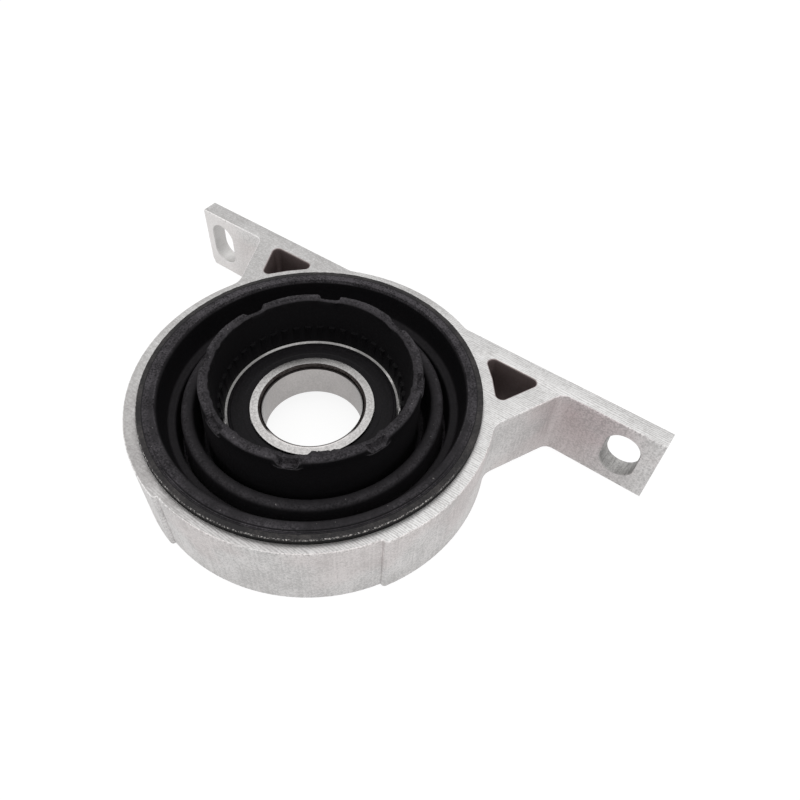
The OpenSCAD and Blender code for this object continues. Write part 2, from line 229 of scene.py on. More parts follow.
class Board:
    """The node tree of one material, or of the world.

    In the finishes a noise's first number counts its features a millimetre, and the numbers of a
    ramp are the values where it starts and ends.
    """

    def __init__(self, owner: Union[bpy.types.Material, bpy.types.World], output: str) -> None:
        """Clears an owner's tree down to one output node.

        Args:
            owner: The material or world.
            output: Blender type of the output node.
        """
        self.owner = owner
        owner.use_nodes = True
        self.tree = owner.node_tree
        self.tree.nodes.clear()
        self.output = self.tree.nodes.new(output)

    @classmethod
    def of_material(cls, name: str) -> "Board":
        """The board of a new material."""
        return cls(bpy.data.materials.new(name), "ShaderNodeOutputMaterial")

    @classmethod
    def of_world(cls, name: str) -> "Board":
        """The board of a new world."""
        return cls(bpy.data.worlds.new(name), "ShaderNodeOutputWorld")

    def node(self, kind: str, settings: dict | None = None, inputs: dict | None = None,
             out: Union[int, str] = 0) -> Wire:
        """Adds a node.

        Args:
            kind: The node's Blender type.
            settings: Its properties, set before its sockets.
            inputs: Values or wires for its sockets, by name or index.
            out: The output that the wire carries.

        Returns:
            A wire from that output.
        """
        node = self.tree.nodes.new(kind)
        for key, value in (settings or {}).items():
            setattr(node, key, value)
        for key, value in (inputs or {}).items():
            if isinstance(value, Wire):
                self.tree.links.new(value.socket, node.inputs[key])
            else:
                node.inputs[key].default_value = value
        return Wire(self, node.outputs[out])

    def math(self, operation: str, *values: Value) -> Wire:
        """A Math node over the values."""
        return self.node("ShaderNodeMath", {"operation": operation}, dict(enumerate(values)))

    def place(self) -> Wire:
        """Object coordinates in millimetres."""
        metres = self.node("ShaderNodeTexCoord", out="Object")
        return self.node("ShaderNodeVectorMath", {"operation": "SCALE"},
                         {0: metres, "Scale": 1.0 / MM})

    def axes(self, vector: Wire) -> tuple[Wire, Wire, Wire]:
        """The three values of a vector."""
        split = self.node("ShaderNodeSeparateXYZ", None, {0: vector})
        return tuple(Wire(self, s) for s in split.socket.node.outputs)

    def vector(self, x: Value, y: Value, z: Value) -> Wire:
        """A vector of three values."""
        return self.node("ShaderNodeCombineXYZ", None, {0: x, 1: y, 2: z})

    def radius(self, vector: Wire) -> Wire:
        """Distance from the Z axis."""
        x, y, _ = self.axes(vector)
        return self.math("SQRT", x * x + y * y)

    def ramp(self, value: Wire, low: float, high: float) -> Wire:
        """Smooth ramp from 0 at low to 1 at high, or falling where low is above high."""
        rising = low < high
        return self.node("ShaderNodeMapRange", {"interpolation_type": "SMOOTHSTEP"},
                         {"Value": value, "From Min": min(low, high), "From Max": max(low, high),
                          "To Min": 0.0 if rising else 1.0, "To Max": 1.0 if rising else 0.0})

    def noise(self, vector: Wire, scale: float, detail: float = 3.0,
              roughness: float = 0.55) -> Wire:
        """Fractal noise around 0.5, with scale features in a unit of the vector."""
        inputs = {"Vector": vector, "Scale": scale, "Detail": detail, "Roughness": roughness}
        return self.node("ShaderNodeTexNoise", None, inputs)

    def mark(self, mark: Mark) -> Wire:
        """A point attribute of the piece."""
        return self.node("ShaderNodeAttribute", {"attribute_name": mark.value}, out="Fac")

    def mix(self, factor: Value, a: Union[Wire, Colour], b: Union[Wire, Colour]) -> Wire:
        """Colour a where the factor is 0 and b where it is 1."""
        sides = [v if isinstance(v, Wire) else (*v, 1.0) for v in (a, b)]
        return self.node("ShaderNodeMix", {"data_type": "RGBA"},
                         {0: factor, MIX_A: sides[0], MIX_B: sides[1]}, MIX_OUT)

    def tint(self, factor: Value, colour: Wire, by: Colour) -> Wire:
        """A colour multiplied by another one, as far as the factor says."""
        return self.node("ShaderNodeMix", {"data_type": "RGBA", "blend_type": "MULTIPLY"},
                         {0: factor, MIX_A: colour, MIX_B: (*by, 1.0)}, MIX_OUT)

    def bump(self, height: Wire, depth: float, strength: float = 1.0) -> Wire:
        """A bumped normal, for heights between 0 and 1 over a depth in millimetres."""
        return self.node("ShaderNodeBump", None,
                         {"Strength": strength, "Distance": depth * MM, "Height": height})

    def surface(self, **sockets: Union[Value, Colour]) -> bpy.types.Material:
        """Ends the tree with one principled shader.

        Args:
            sockets: Values or wires by socket name, with _ for a space.

        Returns:
            The finished material.
        """
        inputs = {key.replace("_", " "): (*v, 1.0) if isinstance(v, tuple) else v
                  for key, v in sockets.items()}
        return self.end(self.node("ShaderNodeBsdfPrincipled", None, inputs))

    def end(self, shader: Wire) -> Union[bpy.types.Material, bpy.types.World]:
        """Feeds a shader to the output, and gives back the tree's owner."""
        self.tree.links.new(shader.socket, self.output.inputs["Surface"])
        return self.owner

    def ray(self, kind: Ray) -> Wire:
        """1 on rays of a kind, else 0."""
        return self.node("ShaderNodeLightPath", out=kind.value)


@dataclass(frozen=True)
class ExtrudedSkin:
    """Bare aluminium as it leaves the die: matte, grainy, cloudy, with faint lines along it."""

    name: str = "extruded_skin"
    light: Colour = (0.78, 0.765, 0.76)
    dark: Colour = (0.54, 0.53, 0.525)
    warm: Colour = (0.70, 0.61, 0.60)
    # Bright colour of the edges' burrs, also laid on the -X ear as painted light.
    wear_and_painted_light: Colour = (0.90, 0.89, 0.88)
    pit: Colour = (0.24, 0.235, 0.23)
    # Colour of the painted shade on the window walls.
    pocket: Colour = (0.185, 0.134, 0.130)
    # Painted shade with a pinkish tint on the +X ear, between the strut and the ear's end, more towards the
    # top.
    tint_and_painted_shading: Colour = (0.70, 0.62, 0.63)
    ear_shade_x: Span = (49.0, 66.0)
    ear_shade_end: Span = (90.0, 72.0)
    ear_shade_z: Span = (-14.0, 8.0)
    # Painted light: where the -X ear is mixed towards the bright colour.
    painted_light_x: Span = (-56.0, -86.0)

    def material(self) -> bpy.types.Material:
        """Builds the finish.

        Returns:
            A material on Object coordinates, and the marks of edges and of the painted shade in the windows.
        """
        b = Board.of_material(self.name)
        p = b.place()
        x, y, z = b.axes(p)
        clouds = b.noise(p, 0.10, 4.0, 0.6)
        die_lines = b.noise(b.vector(x, y, z * 0.03), 1.5, 2.0)
        grain = b.noise(p, 1.5, 3.0, 0.8)
        pits = b.ramp(b.noise(p, 1.5, 2.0, 0.6), 0.66, 0.74)
        tone = b.ramp(clouds * 0.26 + die_lines * 0.14 + grain * 0.60, 0.40, 0.60)
        colour = b.mix(tone, self.dark, self.light)
        colour = b.mix(b.ramp(b.noise(p, 0.035, 2.0), 0.46, 0.62) * 0.25, colour, self.warm)
        # Painted shade: the +X ear is darkened with a pinkish tint, more towards the top.
        ear_shade = (b.ramp(x, *self.ear_shade_x) * b.ramp(x, *self.ear_shade_end)
                   * (0.35 + b.ramp(z, *self.ear_shade_z) * 0.65))
        colour = b.tint(ear_shade * (0.45 + clouds * 0.8), colour, self.tint_and_painted_shading)
        # Painted light: the -X ear, towards its end, is mixed towards the bright colour.
        colour = b.mix(b.ramp(x, *self.painted_light_x) * 0.6, colour, self.wear_and_painted_light)
        edge = b.mark(Mark.EDGE)
        burr = b.noise(p, 1.5, 3.0, 0.75)
        colour = b.mix(edge * b.ramp(burr, 0.50, 0.62) * 0.35, colour, self.wear_and_painted_light)
        colour = b.mix(edge * b.ramp(burr, 0.44, 0.34) * 0.4, colour, self.pit)
        colour = b.mix(pits * 0.55, colour, self.pit)
        # Painted shade: the window walls are darkened where only shade falls.
        colour = b.mix(b.mark(Mark.PAINTED_SHADE) * 0.9, colour, self.pocket)
        height = grain * 0.7 + die_lines * 0.3 - pits * 0.6
        return b.surface(Base_Color=colour, Metallic=0.8, Roughness=0.62 - tone * 0.14,
                         Normal=b.bump(height, 0.05, 0.6))


@dataclass(frozen=True)
class SawnFace:
    """Aluminium as the saw leaves it: bright, with fine uneven lines across and torn grains."""

    name: str = "sawn_face"
    light: Colour = (0.655, 0.65, 0.645)
    dark: Colour = (0.39, 0.38, 0.375)
    pit: Colour = (0.16, 0.155, 0.15)
    # Painted shade: the sawn faces are tinted darker towards the front (-Y).
    dull: Colour = (0.78, 0.77, 0.77)
    front_shade_y: Span = (-18.0, -46.0)
    pitch: float = 0.66

    def material(self) -> bpy.types.Material:
        """Builds the finish.

        Returns:
            A material on Object coordinates.
        """
        b = Board.of_material(self.name)
        p = b.place()
        x, y, _ = b.axes(p)
        wander = b.noise(b.vector(x * 0.05, y * 0.3, 0.0), 1.0, 2.0)
        wave = b.math("SINE", (y + wander * 1.6) * (TURN / self.pitch)) * 0.5 + 0.5
        scratches = b.noise(b.vector(x * 0.30, y * 2.2, 0.0), 1.0, 3.0, 0.7)
        grain = b.noise(p, 1.6, 3.0, 0.8)
        clouds = b.noise(p, 0.08, 3.0, 0.6)
        bite = b.ramp(b.noise(p, 0.05, 2.0) + x * 0.004, 0.40, 0.62)
        lines = wave * bite * 0.35 + scratches * 0.65
        pits = b.ramp(b.noise(b.vector(x * 0.7, y * 1.6, 0.0), 1.2, 2.0, 0.6), 0.67, 0.75)
        tone = b.ramp(lines * 0.40 + grain * 0.42 + clouds * 0.18, 0.33, 0.61)
        # Painted shade: the sawn faces grow darker towards the front (-Y).
        colour = b.tint(b.ramp(y, *self.front_shade_y), b.mix(tone, self.dark, self.light), self.dull)
        colour = b.mix(pits * 0.45, colour, self.pit)
        return b.surface(Base_Color=colour, Metallic=0.8, Roughness=0.52 - tone * 0.12,
                         Normal=b.bump(lines * 0.7 + grain * 0.3 - pits * 0.4, 0.07, 0.6))


@dataclass(frozen=True)
class MilledSlot:
    """The cut wall of a slot: duller than the skin, with tool lines through the bar."""

    name: str = "milled_slot"
    light: Colour = (0.50, 0.49, 0.48)
    dark: Colour = (0.26, 0.255, 0.25)
    # Painted light: the walls of the slot at -X are mixed towards this lighter colour.
    clean: Colour = (0.80, 0.79, 0.78)

    def material(self) -> bpy.types.Material:
        """Builds the finish.

        Returns:
            A material on Object coordinates.
        """
        b = Board.of_material(self.name)
        p = b.place()
        x, y, z = b.axes(p)
        lines = b.noise(b.vector(x * 1.6, y * 0.15, z * 1.6), 1.0, 3.0, 0.7)
        grain = b.noise(p, 2.4, 3.0, 0.7)
        tone = b.ramp(lines * 0.45 + grain * 0.55, 0.34, 0.66)
        # Painted light: the slot at -X is mixed 60% towards the lighter colour.
        colour = b.mix((x < 0.0) * 0.6, b.mix(tone, self.dark, self.light), self.clean)
        return b.surface(Base_Color=colour, Metallic=0.8,
                         Roughness=0.58 - tone * 0.12, Normal=b.bump(lines, 0.06, 0.6))


@dataclass(frozen=True)
class CoatedSteel:
    """Black dipped steel, chipped bright along its upper outer edge, with painted shadow at its foot."""

    name: str = "coated_steel"
    coat: Colour = (0.020, 0.019, 0.020)
    dust: Colour = (0.060, 0.055, 0.054)
    bare: Colour = (0.60, 0.58, 0.56)
    # Colour of the painted shadow at the sleeve's foot, where it meets the bracket.
    foot_shadow: Colour = (0.004, 0.004, 0.004)

    def material(self) -> bpy.types.Material:
        """Builds the finish.

        Returns:
            A material on Object coordinates, and the marks of the edge and of the painted shadow at the
            foot.
        """
        b = Board.of_material(self.name)
        p = b.place()
        grain = b.noise(p, 1.6, 3.0, 0.65)
        clouds = b.noise(p, 0.14, 3.0)
        edge = b.mark(Mark.EDGE)
        chips = b.ramp(b.noise(p, 1.9, 3.0, 0.8), 0.50, 0.62)
        bare = chips * b.ramp(edge, 0.10, 0.80) * 0.85
        colour = b.mix(b.ramp(grain * 0.5 + clouds * 0.5, 0.42, 0.68), self.coat, self.dust)
        # Painted shadow: the sleeve's foot is darkened where it meets the bracket.
        colour = b.mix(b.mark(Mark.PAINTED_SHADE), colour, self.foot_shadow)
        return b.surface(Base_Color=b.mix(bare, colour, self.bare), Metallic=bare * 0.9,
                         Roughness=0.66 - bare * 0.25, Specular_IOR_Level=0.2,
                         Normal=b.bump(grain - bare * 0.5, 0.06, 0.5))


@dataclass(frozen=True)
class DustyRubber:
    """Black moulded rubber with grey mould dust on the faces that stand proud, and painted light in its
    hollows.
    """

    name: str = "dusty_rubber"
    clean: Colour = (0.0030, 0.0027, 0.0033)
    # Colour of the mould dust, which also carries the painted light.
    dust: Colour = (0.086, 0.080, 0.088)
    speck: Colour = (0.34, 0.33, 0.32)

    def material(self) -> bpy.types.Material:
        """Builds the finish.

        Returns:
            A material on Object coordinates and the mark of dust and painted light.
        """
        b = Board.of_material(self.name)
        p = b.place()
        clouds = b.noise(p, 0.22, 4.0, 0.6)
        grain = b.noise(p, 1.7, 3.0, 0.7)
        # The mark carries mould dust and painted light that lifts the hollows and the rim's back slope.
        dust = b.mark(Mark.DUST_AND_PAINTED_LIGHT)
        patchy = b.ramp(clouds * 0.35 + grain * 0.65, 0.34, 0.64) - 0.5
        cover = dust * (patchy * (0.2 + b.ramp(dust, 0.45, 0.85) * 0.75) + 0.5)
        specks = b.ramp(b.noise(p, 1.3, 1.0), 0.755, 0.79) * b.ramp(dust, 0.3, 0.7)
        colour = b.mix(cover, self.clean, self.dust)
        colour = b.mix(specks * 0.6, colour, self.speck)
        return b.surface(Base_Color=colour, Roughness=0.60 + cover * 0.3, Specular_IOR_Level=0.10,
                         Normal=b.bump(grain * 0.8 + clouds * 0.2, 0.22, 0.5))


@dataclass(frozen=True)
class GroundSteel:
    """Hardened and ground bearing steel, with painted shade round most of its bore's upper mouth."""

    name: str
    corner_r: float
    corner_z: float
    roughness: float = 0.22
    light: Colour = (0.43, 0.42, 0.415)
    dark: Colour = (0.27, 0.262, 0.258)
    # Colour of the painted shade round the bore's upper mouth, which clears towards the front.
    scale: Colour = (0.013, 0.010, 0.009)
    # Painted light: the lighter, beige tint that the bore is mixed towards.
    tint_and_painted_shading: Colour = (0.88, 0.835, 0.82)
    unshaded_towards: float = -52.5
    unshaded_from: Span = (12.5, 9.0)

    def material(self) -> bpy.types.Material:
        """Builds the finish.

        Returns:
            A material on Object coordinates, with lines round the axis.
        """
        b = Board.of_material(self.name)
        p = b.place()
        x, y, z = b.axes(p)
        r = b.radius(p)
        a = math.radians(self.unshaded_towards)
        ahead = x * math.cos(a) + y * math.sin(a)
        lines = b.noise(b.vector(r, 0.0, z), 9.0, 3.0, 0.7)
        mottle = b.noise(p, 1.6, 3.0, 0.7)
        clouds = b.noise(p, 0.12, 3.0)
        inside = r < self.corner_r
        # Where the painted shade lies: the bore's upper mouth, fading out towards the front.
        corner = inside * (z > self.corner_z) * b.ramp(ahead, *self.unshaded_from)
        tone = b.ramp(lines * 0.4 + mottle * 0.6, 0.36, 0.64)
        colour = b.mix(tone, self.dark, self.light)
        # Painted light with a beige tint: the bore is lightened.
        colour = b.mix(inside * (0.30 + clouds * 0.25), colour, self.tint_and_painted_shading)
        # Painted shade on the bore's upper mouth.
        colour = b.mix(corner * (0.88 + mottle * 0.2), colour, self.scale)
        return b.surface(Base_Color=colour, Metallic=1.0,
                         Roughness=self.roughness + 0.06 - tone * 0.08,
                         Normal=b.bump(lines * 0.5 + mottle * 0.5, 0.01, 0.4))


@dataclass(frozen=True)
class SealRubber:
    """Smooth black nitrile with faint moulding rings and a little dust."""

    name: str = "seal_rubber"
    clean: Colour = (0.0040, 0.0036, 0.0043)
    dust: Colour = (0.017, 0.015, 0.018)

    def material(self) -> bpy.types.Material:
        """Builds the finish.

        Returns:
            A material on Object coordinates, with rings round the axis.
        """
        b = Board.of_material(self.name)
        p = b.place()
        rings = b.noise(b.vector(b.radius(p), 0.0, 0.0), 3.0, 2.0)
        grain = b.noise(p, 1.8, 3.0, 0.65)
        cover = b.ramp(grain * 0.6 + rings * 0.4, 0.42, 0.70)
        return b.surface(Base_Color=b.mix(cover, self.clean, self.dust),
                         Roughness=0.50 + cover * 0.2, Specular_IOR_Level=0.13,
                         Normal=b.bump(rings * 0.6 + grain * 0.4, 0.05, 0.35))


@dataclass(frozen=True)
class PlainSteel:
    """Steel sheet or wire with a faint grain, from dull pressings to polished balls."""

    name: str
    light: Colour
    dark: Colour
    roughness: float
    grain_mm: float = 0.6

    def material(self) -> bpy.types.Material:
        """Builds the finish.

        Returns:
            A material on Object coordinates.
        """
        b = Board.of_material(self.name)
        p = b.place()
        grain = b.noise(p, 1.0 / self.grain_mm, 3.0, 0.65)
        clouds = b.noise(p, 0.2, 3.0)
        tone = b.ramp(grain * 0.5 + clouds * 0.5, 0.36, 0.64)
        return b.surface(Base_Color=b.mix(tone, self.dark, self.light), Metallic=0.95,
                         Roughness=self.roughness * (1.15 - tone * 0.3),
                         Normal=b.bump(grain, 0.01, 0.3))


def make_piece(name: str, points: Array, faces: list[Array], smooth: Array,
               materials: list[bpy.types.Material], slots: Array,
               marks: dict[Mark, Array]) -> bpy.types.Object:
    """Puts a worked-out surface into a mesh object at the origin.

    Args:
        name: The piece's name.
        points: Vertices as rows of x, y and z in millimetres.
        faces: Blocks of faces, each an array with one row of vertex numbers a face.
        smooth: Whether each face is shaded smooth.
        materials: The piece's material slots.
        slots: Each face's material slot.
        marks: Point attributes.

    Returns:
        The object, linked to the scene.
    """
    mesh = bpy.data.meshes.new(name)
    rows = [row for block in faces for row in block.tolist()]
    mesh.from_pydata((points * MM).tolist(), [], rows)
    mesh.polygons.foreach_set("use_smooth", smooth.astype(bool))
    mesh.polygons.foreach_set("material_index", slots.astype(np.int32))
    for mark, values in marks.items():
        layer = mesh.attributes.new(mark.value, "FLOAT", "POINT")
        layer.data.foreach_set("value", values.astype(np.float32))
    for material in materials:
        mesh.materials.append(material)
    mesh.update()
    piece = bpy.data.objects.new(name, mesh)
    bpy.context.scene.collection.objects.link(piece)
    return piece


def dress(piece: bpy.types.Object, node: str) -> None:
    """Lets a piece stand for a CAD node, whose own mesh is hidden.

    Args:
        piece: The finished piece.
        node: The node that it stands for.
    """
    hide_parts(node)
    LOG.info("%s stands for %s with %d faces", piece.name, node, len(piece.data.polygons))


class Outline:
    """A closed flat outline of lines and arcs, with the material on its left."""

    def __init__(self, arc_step: float = 3.0) -> None:
        """Starts an empty outline whose arcs turn arc_step degrees a point."""
        self.arc_step = arc_step
        self.runs: list[Array] = []

    def to(self, *points: Array) -> "Outline":
        """Adds corners."""
        self.runs.append(np.array(points, float).reshape(-1, 2))
        return self

    def arc(self, centre: Array, radius: float, start: float, end: float) -> "Outline":
        """Adds an arc: centre + radius * (cos a, sin a), with a from start to end degrees.

        Args:
            centre: The arc's centre.
            radius: Its radius.
            start: Angle of its first point.
            end: Angle of its last point.

        Returns:
            The outline itself.
        """
        count = max(2, int(abs(end - start) / self.arc_step) + 2)
        self.runs.append(centre + polar(radius, np.linspace(start, end, count)))
        return self

    def bend(self, centre: Array, first: Array, last: Array) -> "Outline":
        """Adds the shorter arc round a centre from one point to another.

        Args:
            centre: The arc's centre.
            first: Its first point.
            last: Its last point.

        Returns:
            The outline itself.
        """
        start, end = bearing_of(first - centre), bearing_of(last - centre)
        end = start + (end - start + 180.0) % 360.0 - 180.0
        return self.arc(centre, float(np.linalg.norm(first - centre)), start, end)

    def loop(self, flip: bool = False) -> Array:
        """Closes the outline.

        Args:
            flip: Whether to run round it backwards.

        Returns:
            Its points, each once, as rows of x and y.
        """
        points = np.concatenate(self.runs)
        apart = np.linalg.norm(points - np.roll(points, 1, axis=0), axis=1) > SAME_MM
        return points[apart][::-1] if flip else points[apart]


def backwards(fillet: Fillet) -> Fillet:
    """The fillet with its two ends swapped."""
    centre, first, last = fillet
    return centre, last, first


def mitres(loop: Array) -> Array:
    """Offsets that move each side of a loop outwards by one.

    At a corner between sides with normals m and n the offset is (m + n) / (1 + m . n).

    Args:
        loop: Points of a closed outline with the material on its left.

    Returns:
        One offset a point.
    """
    side = np.roll(loop, -1, axis=0) - loop
    side /= np.linalg.norm(side, axis=1, keepdims=True)
    after = np.stack([side[:, 1], -side[:, 0]], axis=1)
    before = np.roll(after, 1, axis=0)
    return (before + after) / (1.0 + (before * after).sum(axis=1, keepdims=True))


@dataclass
class Bracket:
    """The sawn extrusion: a ring on two struts under a slotted mounting bar."""

    ring_r: float = 53.4
    bore_r: float = 49.5
    low: float = -11.5
    top: float = 13.5
    recess_depth: float = 1.1
    recess_from: float = -100.0
    recess_to: float = -29.0
    bar_t: float = 5.8
    bar_inset: float = 5.1
    bar_left: float = -88.1
    bar_right: float = 90.0
    slot_x: float = 80.0
    slot_w: float = 10.0
    slot_len: float = 16.5
    clip_w: float = 1.0
    clip_h: float = 3.0
    strut_t: float = 6.3
    strut_lean: float = 25.0
    strut_out: float = 5.8
    bar_fillet: float = 3.5
    ring_fillet: float = 6.0
    back_fillet: float = 4.0
    window_fillet: float = 1.8
    edge: float = 0.28
    edge_band: float = 0.9
    edge_steps: int = 4
    window_fresh: float = 0.7
    # How far the windows' painted shade eases off at their rounded edges.
    painted_shade_edge_ease: float = 0.12
    window_arc_step: float = 12.0
    slot_arc_step: float = 6.0
    sharp: float = 38.0

    def __post_init__(self) -> None:
        """Works out the bar's faces and the strut's lines."""
        self.back_y = self.ring_r - self.bar_inset
        self.front_y = self.back_y - self.bar_t
        lean = math.radians(self.strut_lean)
        self.strut_dir = np.array([-math.sin(lean), -math.cos(lean)])
        self.strut_side = np.array([math.cos(lean), -math.sin(lean)])
        self.foot = np.array([self.ring_r + self.strut_out, self.front_y])
        self.root = self.foot - np.array([self.strut_t / math.cos(lean), 0.0])

    def ring_corner(self, p: Array, d: Array, n: Array, r: float, side: int) -> Fillet:
        """A fillet between the ring and the wall through p along d, facing n.

        Args:
            p: A point on the wall.
            d: The wall's direction.
            n: The wall's normal, towards the fillet.
            r: The fillet's radius.
            side: Which crossing of wall and ring, as in reach.

        Returns:
            The fillet's centre, its point on the wall and its point on the ring.
        """
        centre = reach(p + n * r, d, self.ring_r + r, side)
        return centre, centre - n * r, unit(centre) * self.ring_r

    @staticmethod
    def line_corner(corner: Array, a: Array, b: Array, r: float) -> Fillet:
        """A fillet between two walls that leave a corner along a and b.

        Args:
            corner: Where the walls would meet.
            a: Direction of the first wall.
            b: Direction of the second wall.
            r: The fillet's radius.

        Returns:
            The fillet's centre, its point on wall a and its point on wall b.
        """
        half = math.acos(float(a @ b)) / 2.0
        run = r / math.tan(half)
        return corner + unit(a + b) * r / math.sin(half), corner + a * run, corner + b * run

    def right_side(self) -> dict[str, Fillet]:
        """Works out the fillets on the side of +X.

        Returns:
            Each fillet's centre and two ends, by name.
        """
        along, down, up = np.array([1.0, 0.0]), np.array([0.0, -1.0]), np.array([0.0, 1.0])
        front, back = np.array([0.0, self.front_y]), np.array([0.0, self.back_y])
        d, n = self.strut_dir, self.strut_side
        return {
            "ring": self.ring_corner(self.foot, d, n, self.ring_fillet, -1),
            "bar": self.line_corner(self.foot, d, along, self.bar_fillet),
            "back": self.ring_corner(back, along, up, self.back_fillet, 1),
            "win_bar": self.line_corner(self.root, d, -along, self.window_fillet),
            "win_strut": self.ring_corner(self.root, d, -n, self.window_fillet, -1),
            "win_ring": self.ring_corner(front, along, down, self.window_fillet, 1),
        }

    def outer_loop(self) -> Array:
        """The outside, anticlockwise from the end of the recess.

        Returns:
            Rows of x and y.
        """
        right = self.right_side()
        mirror = np.array([-1.0, 1.0])
        left = {key: tuple(v * mirror for v in value) for key, value in right.items()}
        floor_r, start, end = self.ring_r - self.recess_depth, self.recess_from, self.recess_to
        lead = math.degrees(self.recess_depth / floor_r)
        axis = np.zeros(2)
        line = Outline()
        line.arc(axis, self.ring_r, end, bearing_of(right["ring"][2]))
        line.bend(*backwards(right["ring"]))
        line.bend(*right["bar"])
        line.to((self.bar_right, self.front_y), (self.bar_right, self.back_y))
        line.bend(*right["back"])
        line.arc(axis, self.ring_r, bearing_of(right["back"][2]), bearing_of(left["back"][2]))
        line.bend(*backwards(left["back"]))
        line.to((self.bar_left, self.back_y), (self.bar_left, self.front_y))
        line.bend(*backwards(left["bar"]))
        line.bend(*left["ring"])
        line.arc(axis, self.ring_r, bearing_of(left["ring"][2]) % 360.0, start + 360.0)
        line.arc(polar(floor_r, start), self.recess_depth, start, start + 90.0)
        line.arc(axis, floor_r, start + lead, end - lead)
        line.arc(polar(floor_r, end), self.recess_depth, end - 90.0, end)
        return line.loop()

    def window_loop(self, side: int) -> Array:
        """One triangular window, with the material on the left of its outline.

        Args:
            side: 1 for the window towards +X, -1 for the other one.

        Returns:
            Rows of x and y.
        """
        f = self.right_side()
        line = Outline(self.window_arc_step)
        line.bend(*backwards(f["win_bar"]))
        line.bend(*f["win_strut"])
        line.arc(np.zeros(2), self.ring_r,
                 bearing_of(f["win_strut"][2]), bearing_of(f["win_ring"][2]))
        line.bend(*backwards(f["win_ring"]))
        return line.loop(flip=side < 0) * np.array([float(side), 1.0])

    def levels(self) -> tuple[Array, Array, Array]:
        """Heights of the walls' rings of points, with their inset and edge mark.

        At each end the wall rounds over by a quarter circle: inset = e * (1 - sin a) and
        height = e * (1 - cos a), for a from 0 to a right angle.

        Returns:
            Heights, insets and marks, from the lower face to the upper one.
        """
        a = np.linspace(0.0, math.pi / 2.0, self.edge_steps)
        rise = np.append(self.edge * (1.0 - np.cos(a)), self.edge + self.edge_band)
        inset = np.append(self.edge * (1.0 - np.sin(a)), 0.0)
        mark = np.append(np.ones(self.edge_steps), 0.0)
        z = np.concatenate([self.low + rise, (self.top - rise)[::-1]])
        return z, np.concatenate([inset, inset[::-1]]), np.concatenate([mark, mark[::-1]])

    def build(self, finishes: list[bpy.types.Material]) -> bpy.types.Object:
        """Carries the outlines up the walls, caps them and cuts the slots.

        Args:
            finishes: Finishes of the extruded walls, the sawn faces and the cuts.

        Returns:
            The finished piece, riding on its body.
        """
        bore = Outline().arc(np.zeros(2), self.bore_r, 0.0, 360.0).loop(flip=True)
        loops = [self.outer_loop(), bore, self.window_loop(1), self.window_loop(-1)]
        in_window = (0.0, 0.0, 1.0, 1.0)
        z, inset, mark = self.levels()
        rows = len(z)
        points, walls, edges, painted_shades, bottom, top = [], [], [], [], [], []
        first = 0
        for loop, depth in zip(loops, in_window):
            count = len(loop)
            flat = loop[None] - mitres(loop)[None] * inset[:, None, None]
            height = np.broadcast_to(z[:, None, None], (rows, count, 1))
            points.append(np.concatenate([flat, height], axis=2).reshape(-1, 3))
            edges.append(np.repeat(mark * (1.0 - self.window_fresh * depth), count))
            # The window loops carry painted shade, eased off at their rounded edges.
            painted_shades.append(np.repeat(depth * (1.0 - self.painted_shade_edge_ease * mark), count))
            grid = first + np.arange(rows * count).reshape(rows, count)
            beside = np.roll(grid, -1, axis=1)
            quads = np.stack([grid[:-1], beside[:-1], beside[1:], grid[1:]], axis=-1)
            walls.append(quads.reshape(-1, 4))
            bottom.append(grid[0])
            top.append(grid[-1])
            first += rows * count
        points, walls = np.concatenate(points), np.concatenate(walls)
        cap = self.cap([points[row][:, :2] for row in top])
        upper, lower = np.concatenate(top)[cap], np.concatenate(bottom)[cap[:, ::-1]]
        is_cap = np.repeat([False, True], [len(walls), 2 * len(cap)])
        marks = {Mark.EDGE: np.concatenate(edges), Mark.PAINTED_SHADE: np.concatenate(painted_shades)}
        piece = make_piece("bracket_extrusion", points, [walls, upper, lower], ~is_cap, finishes,
                           is_cap, marks)
        for x in (-self.slot_x, self.slot_x):
            self.cut(piece, self.slot_cutter(x, finishes))
        self.cut(piece, self.clip_cutter(finishes))
        piece.data.set_sharp_from_angle(angle=math.radians(self.sharp))
        dress(piece, "bracket")
        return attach(piece, Body.BRACKET.value)

    @staticmethod
    def cap(loops: list[Array]) -> Array:
        """Fills an outline with holes by Delaunay triangles that face up.

        A triangle is kept where a line from its middle along +X crosses an odd number of sides.

        Args:
            loops: The outline and its holes, as rows of x and y.

        Returns:
            One row of three point numbers a triangle, over all the loops' points in order.
        """
        within_sides, apart = 1, 1e-5
        flat = np.concatenate(loops)
        here = np.arange(len(flat))
        runs = np.split(here, np.cumsum([len(loop) for loop in loops])[:-1])
        there = np.concatenate([np.roll(run, -1) for run in runs])
        sides = np.stack([here, there], axis=1).tolist()
        filled = delaunay_2d_cdt([Vector(p) for p in flat], sides, [], within_sides, apart)
        tris = np.array([source[0] for source in filled[3]])[np.array(filled[2])]
        x, y = flat[tris].mean(axis=1).T[..., None]
        (ax, ay), (bx, by) = flat[here].T, flat[there].T
        spans = (ay > y) != (by > y)
        crossed = spans & (x < ax + (y - ay) * (bx - ax) / np.where(spans, by - ay, 1.0))
        return tris[crossed.sum(axis=1) % 2 == 1]

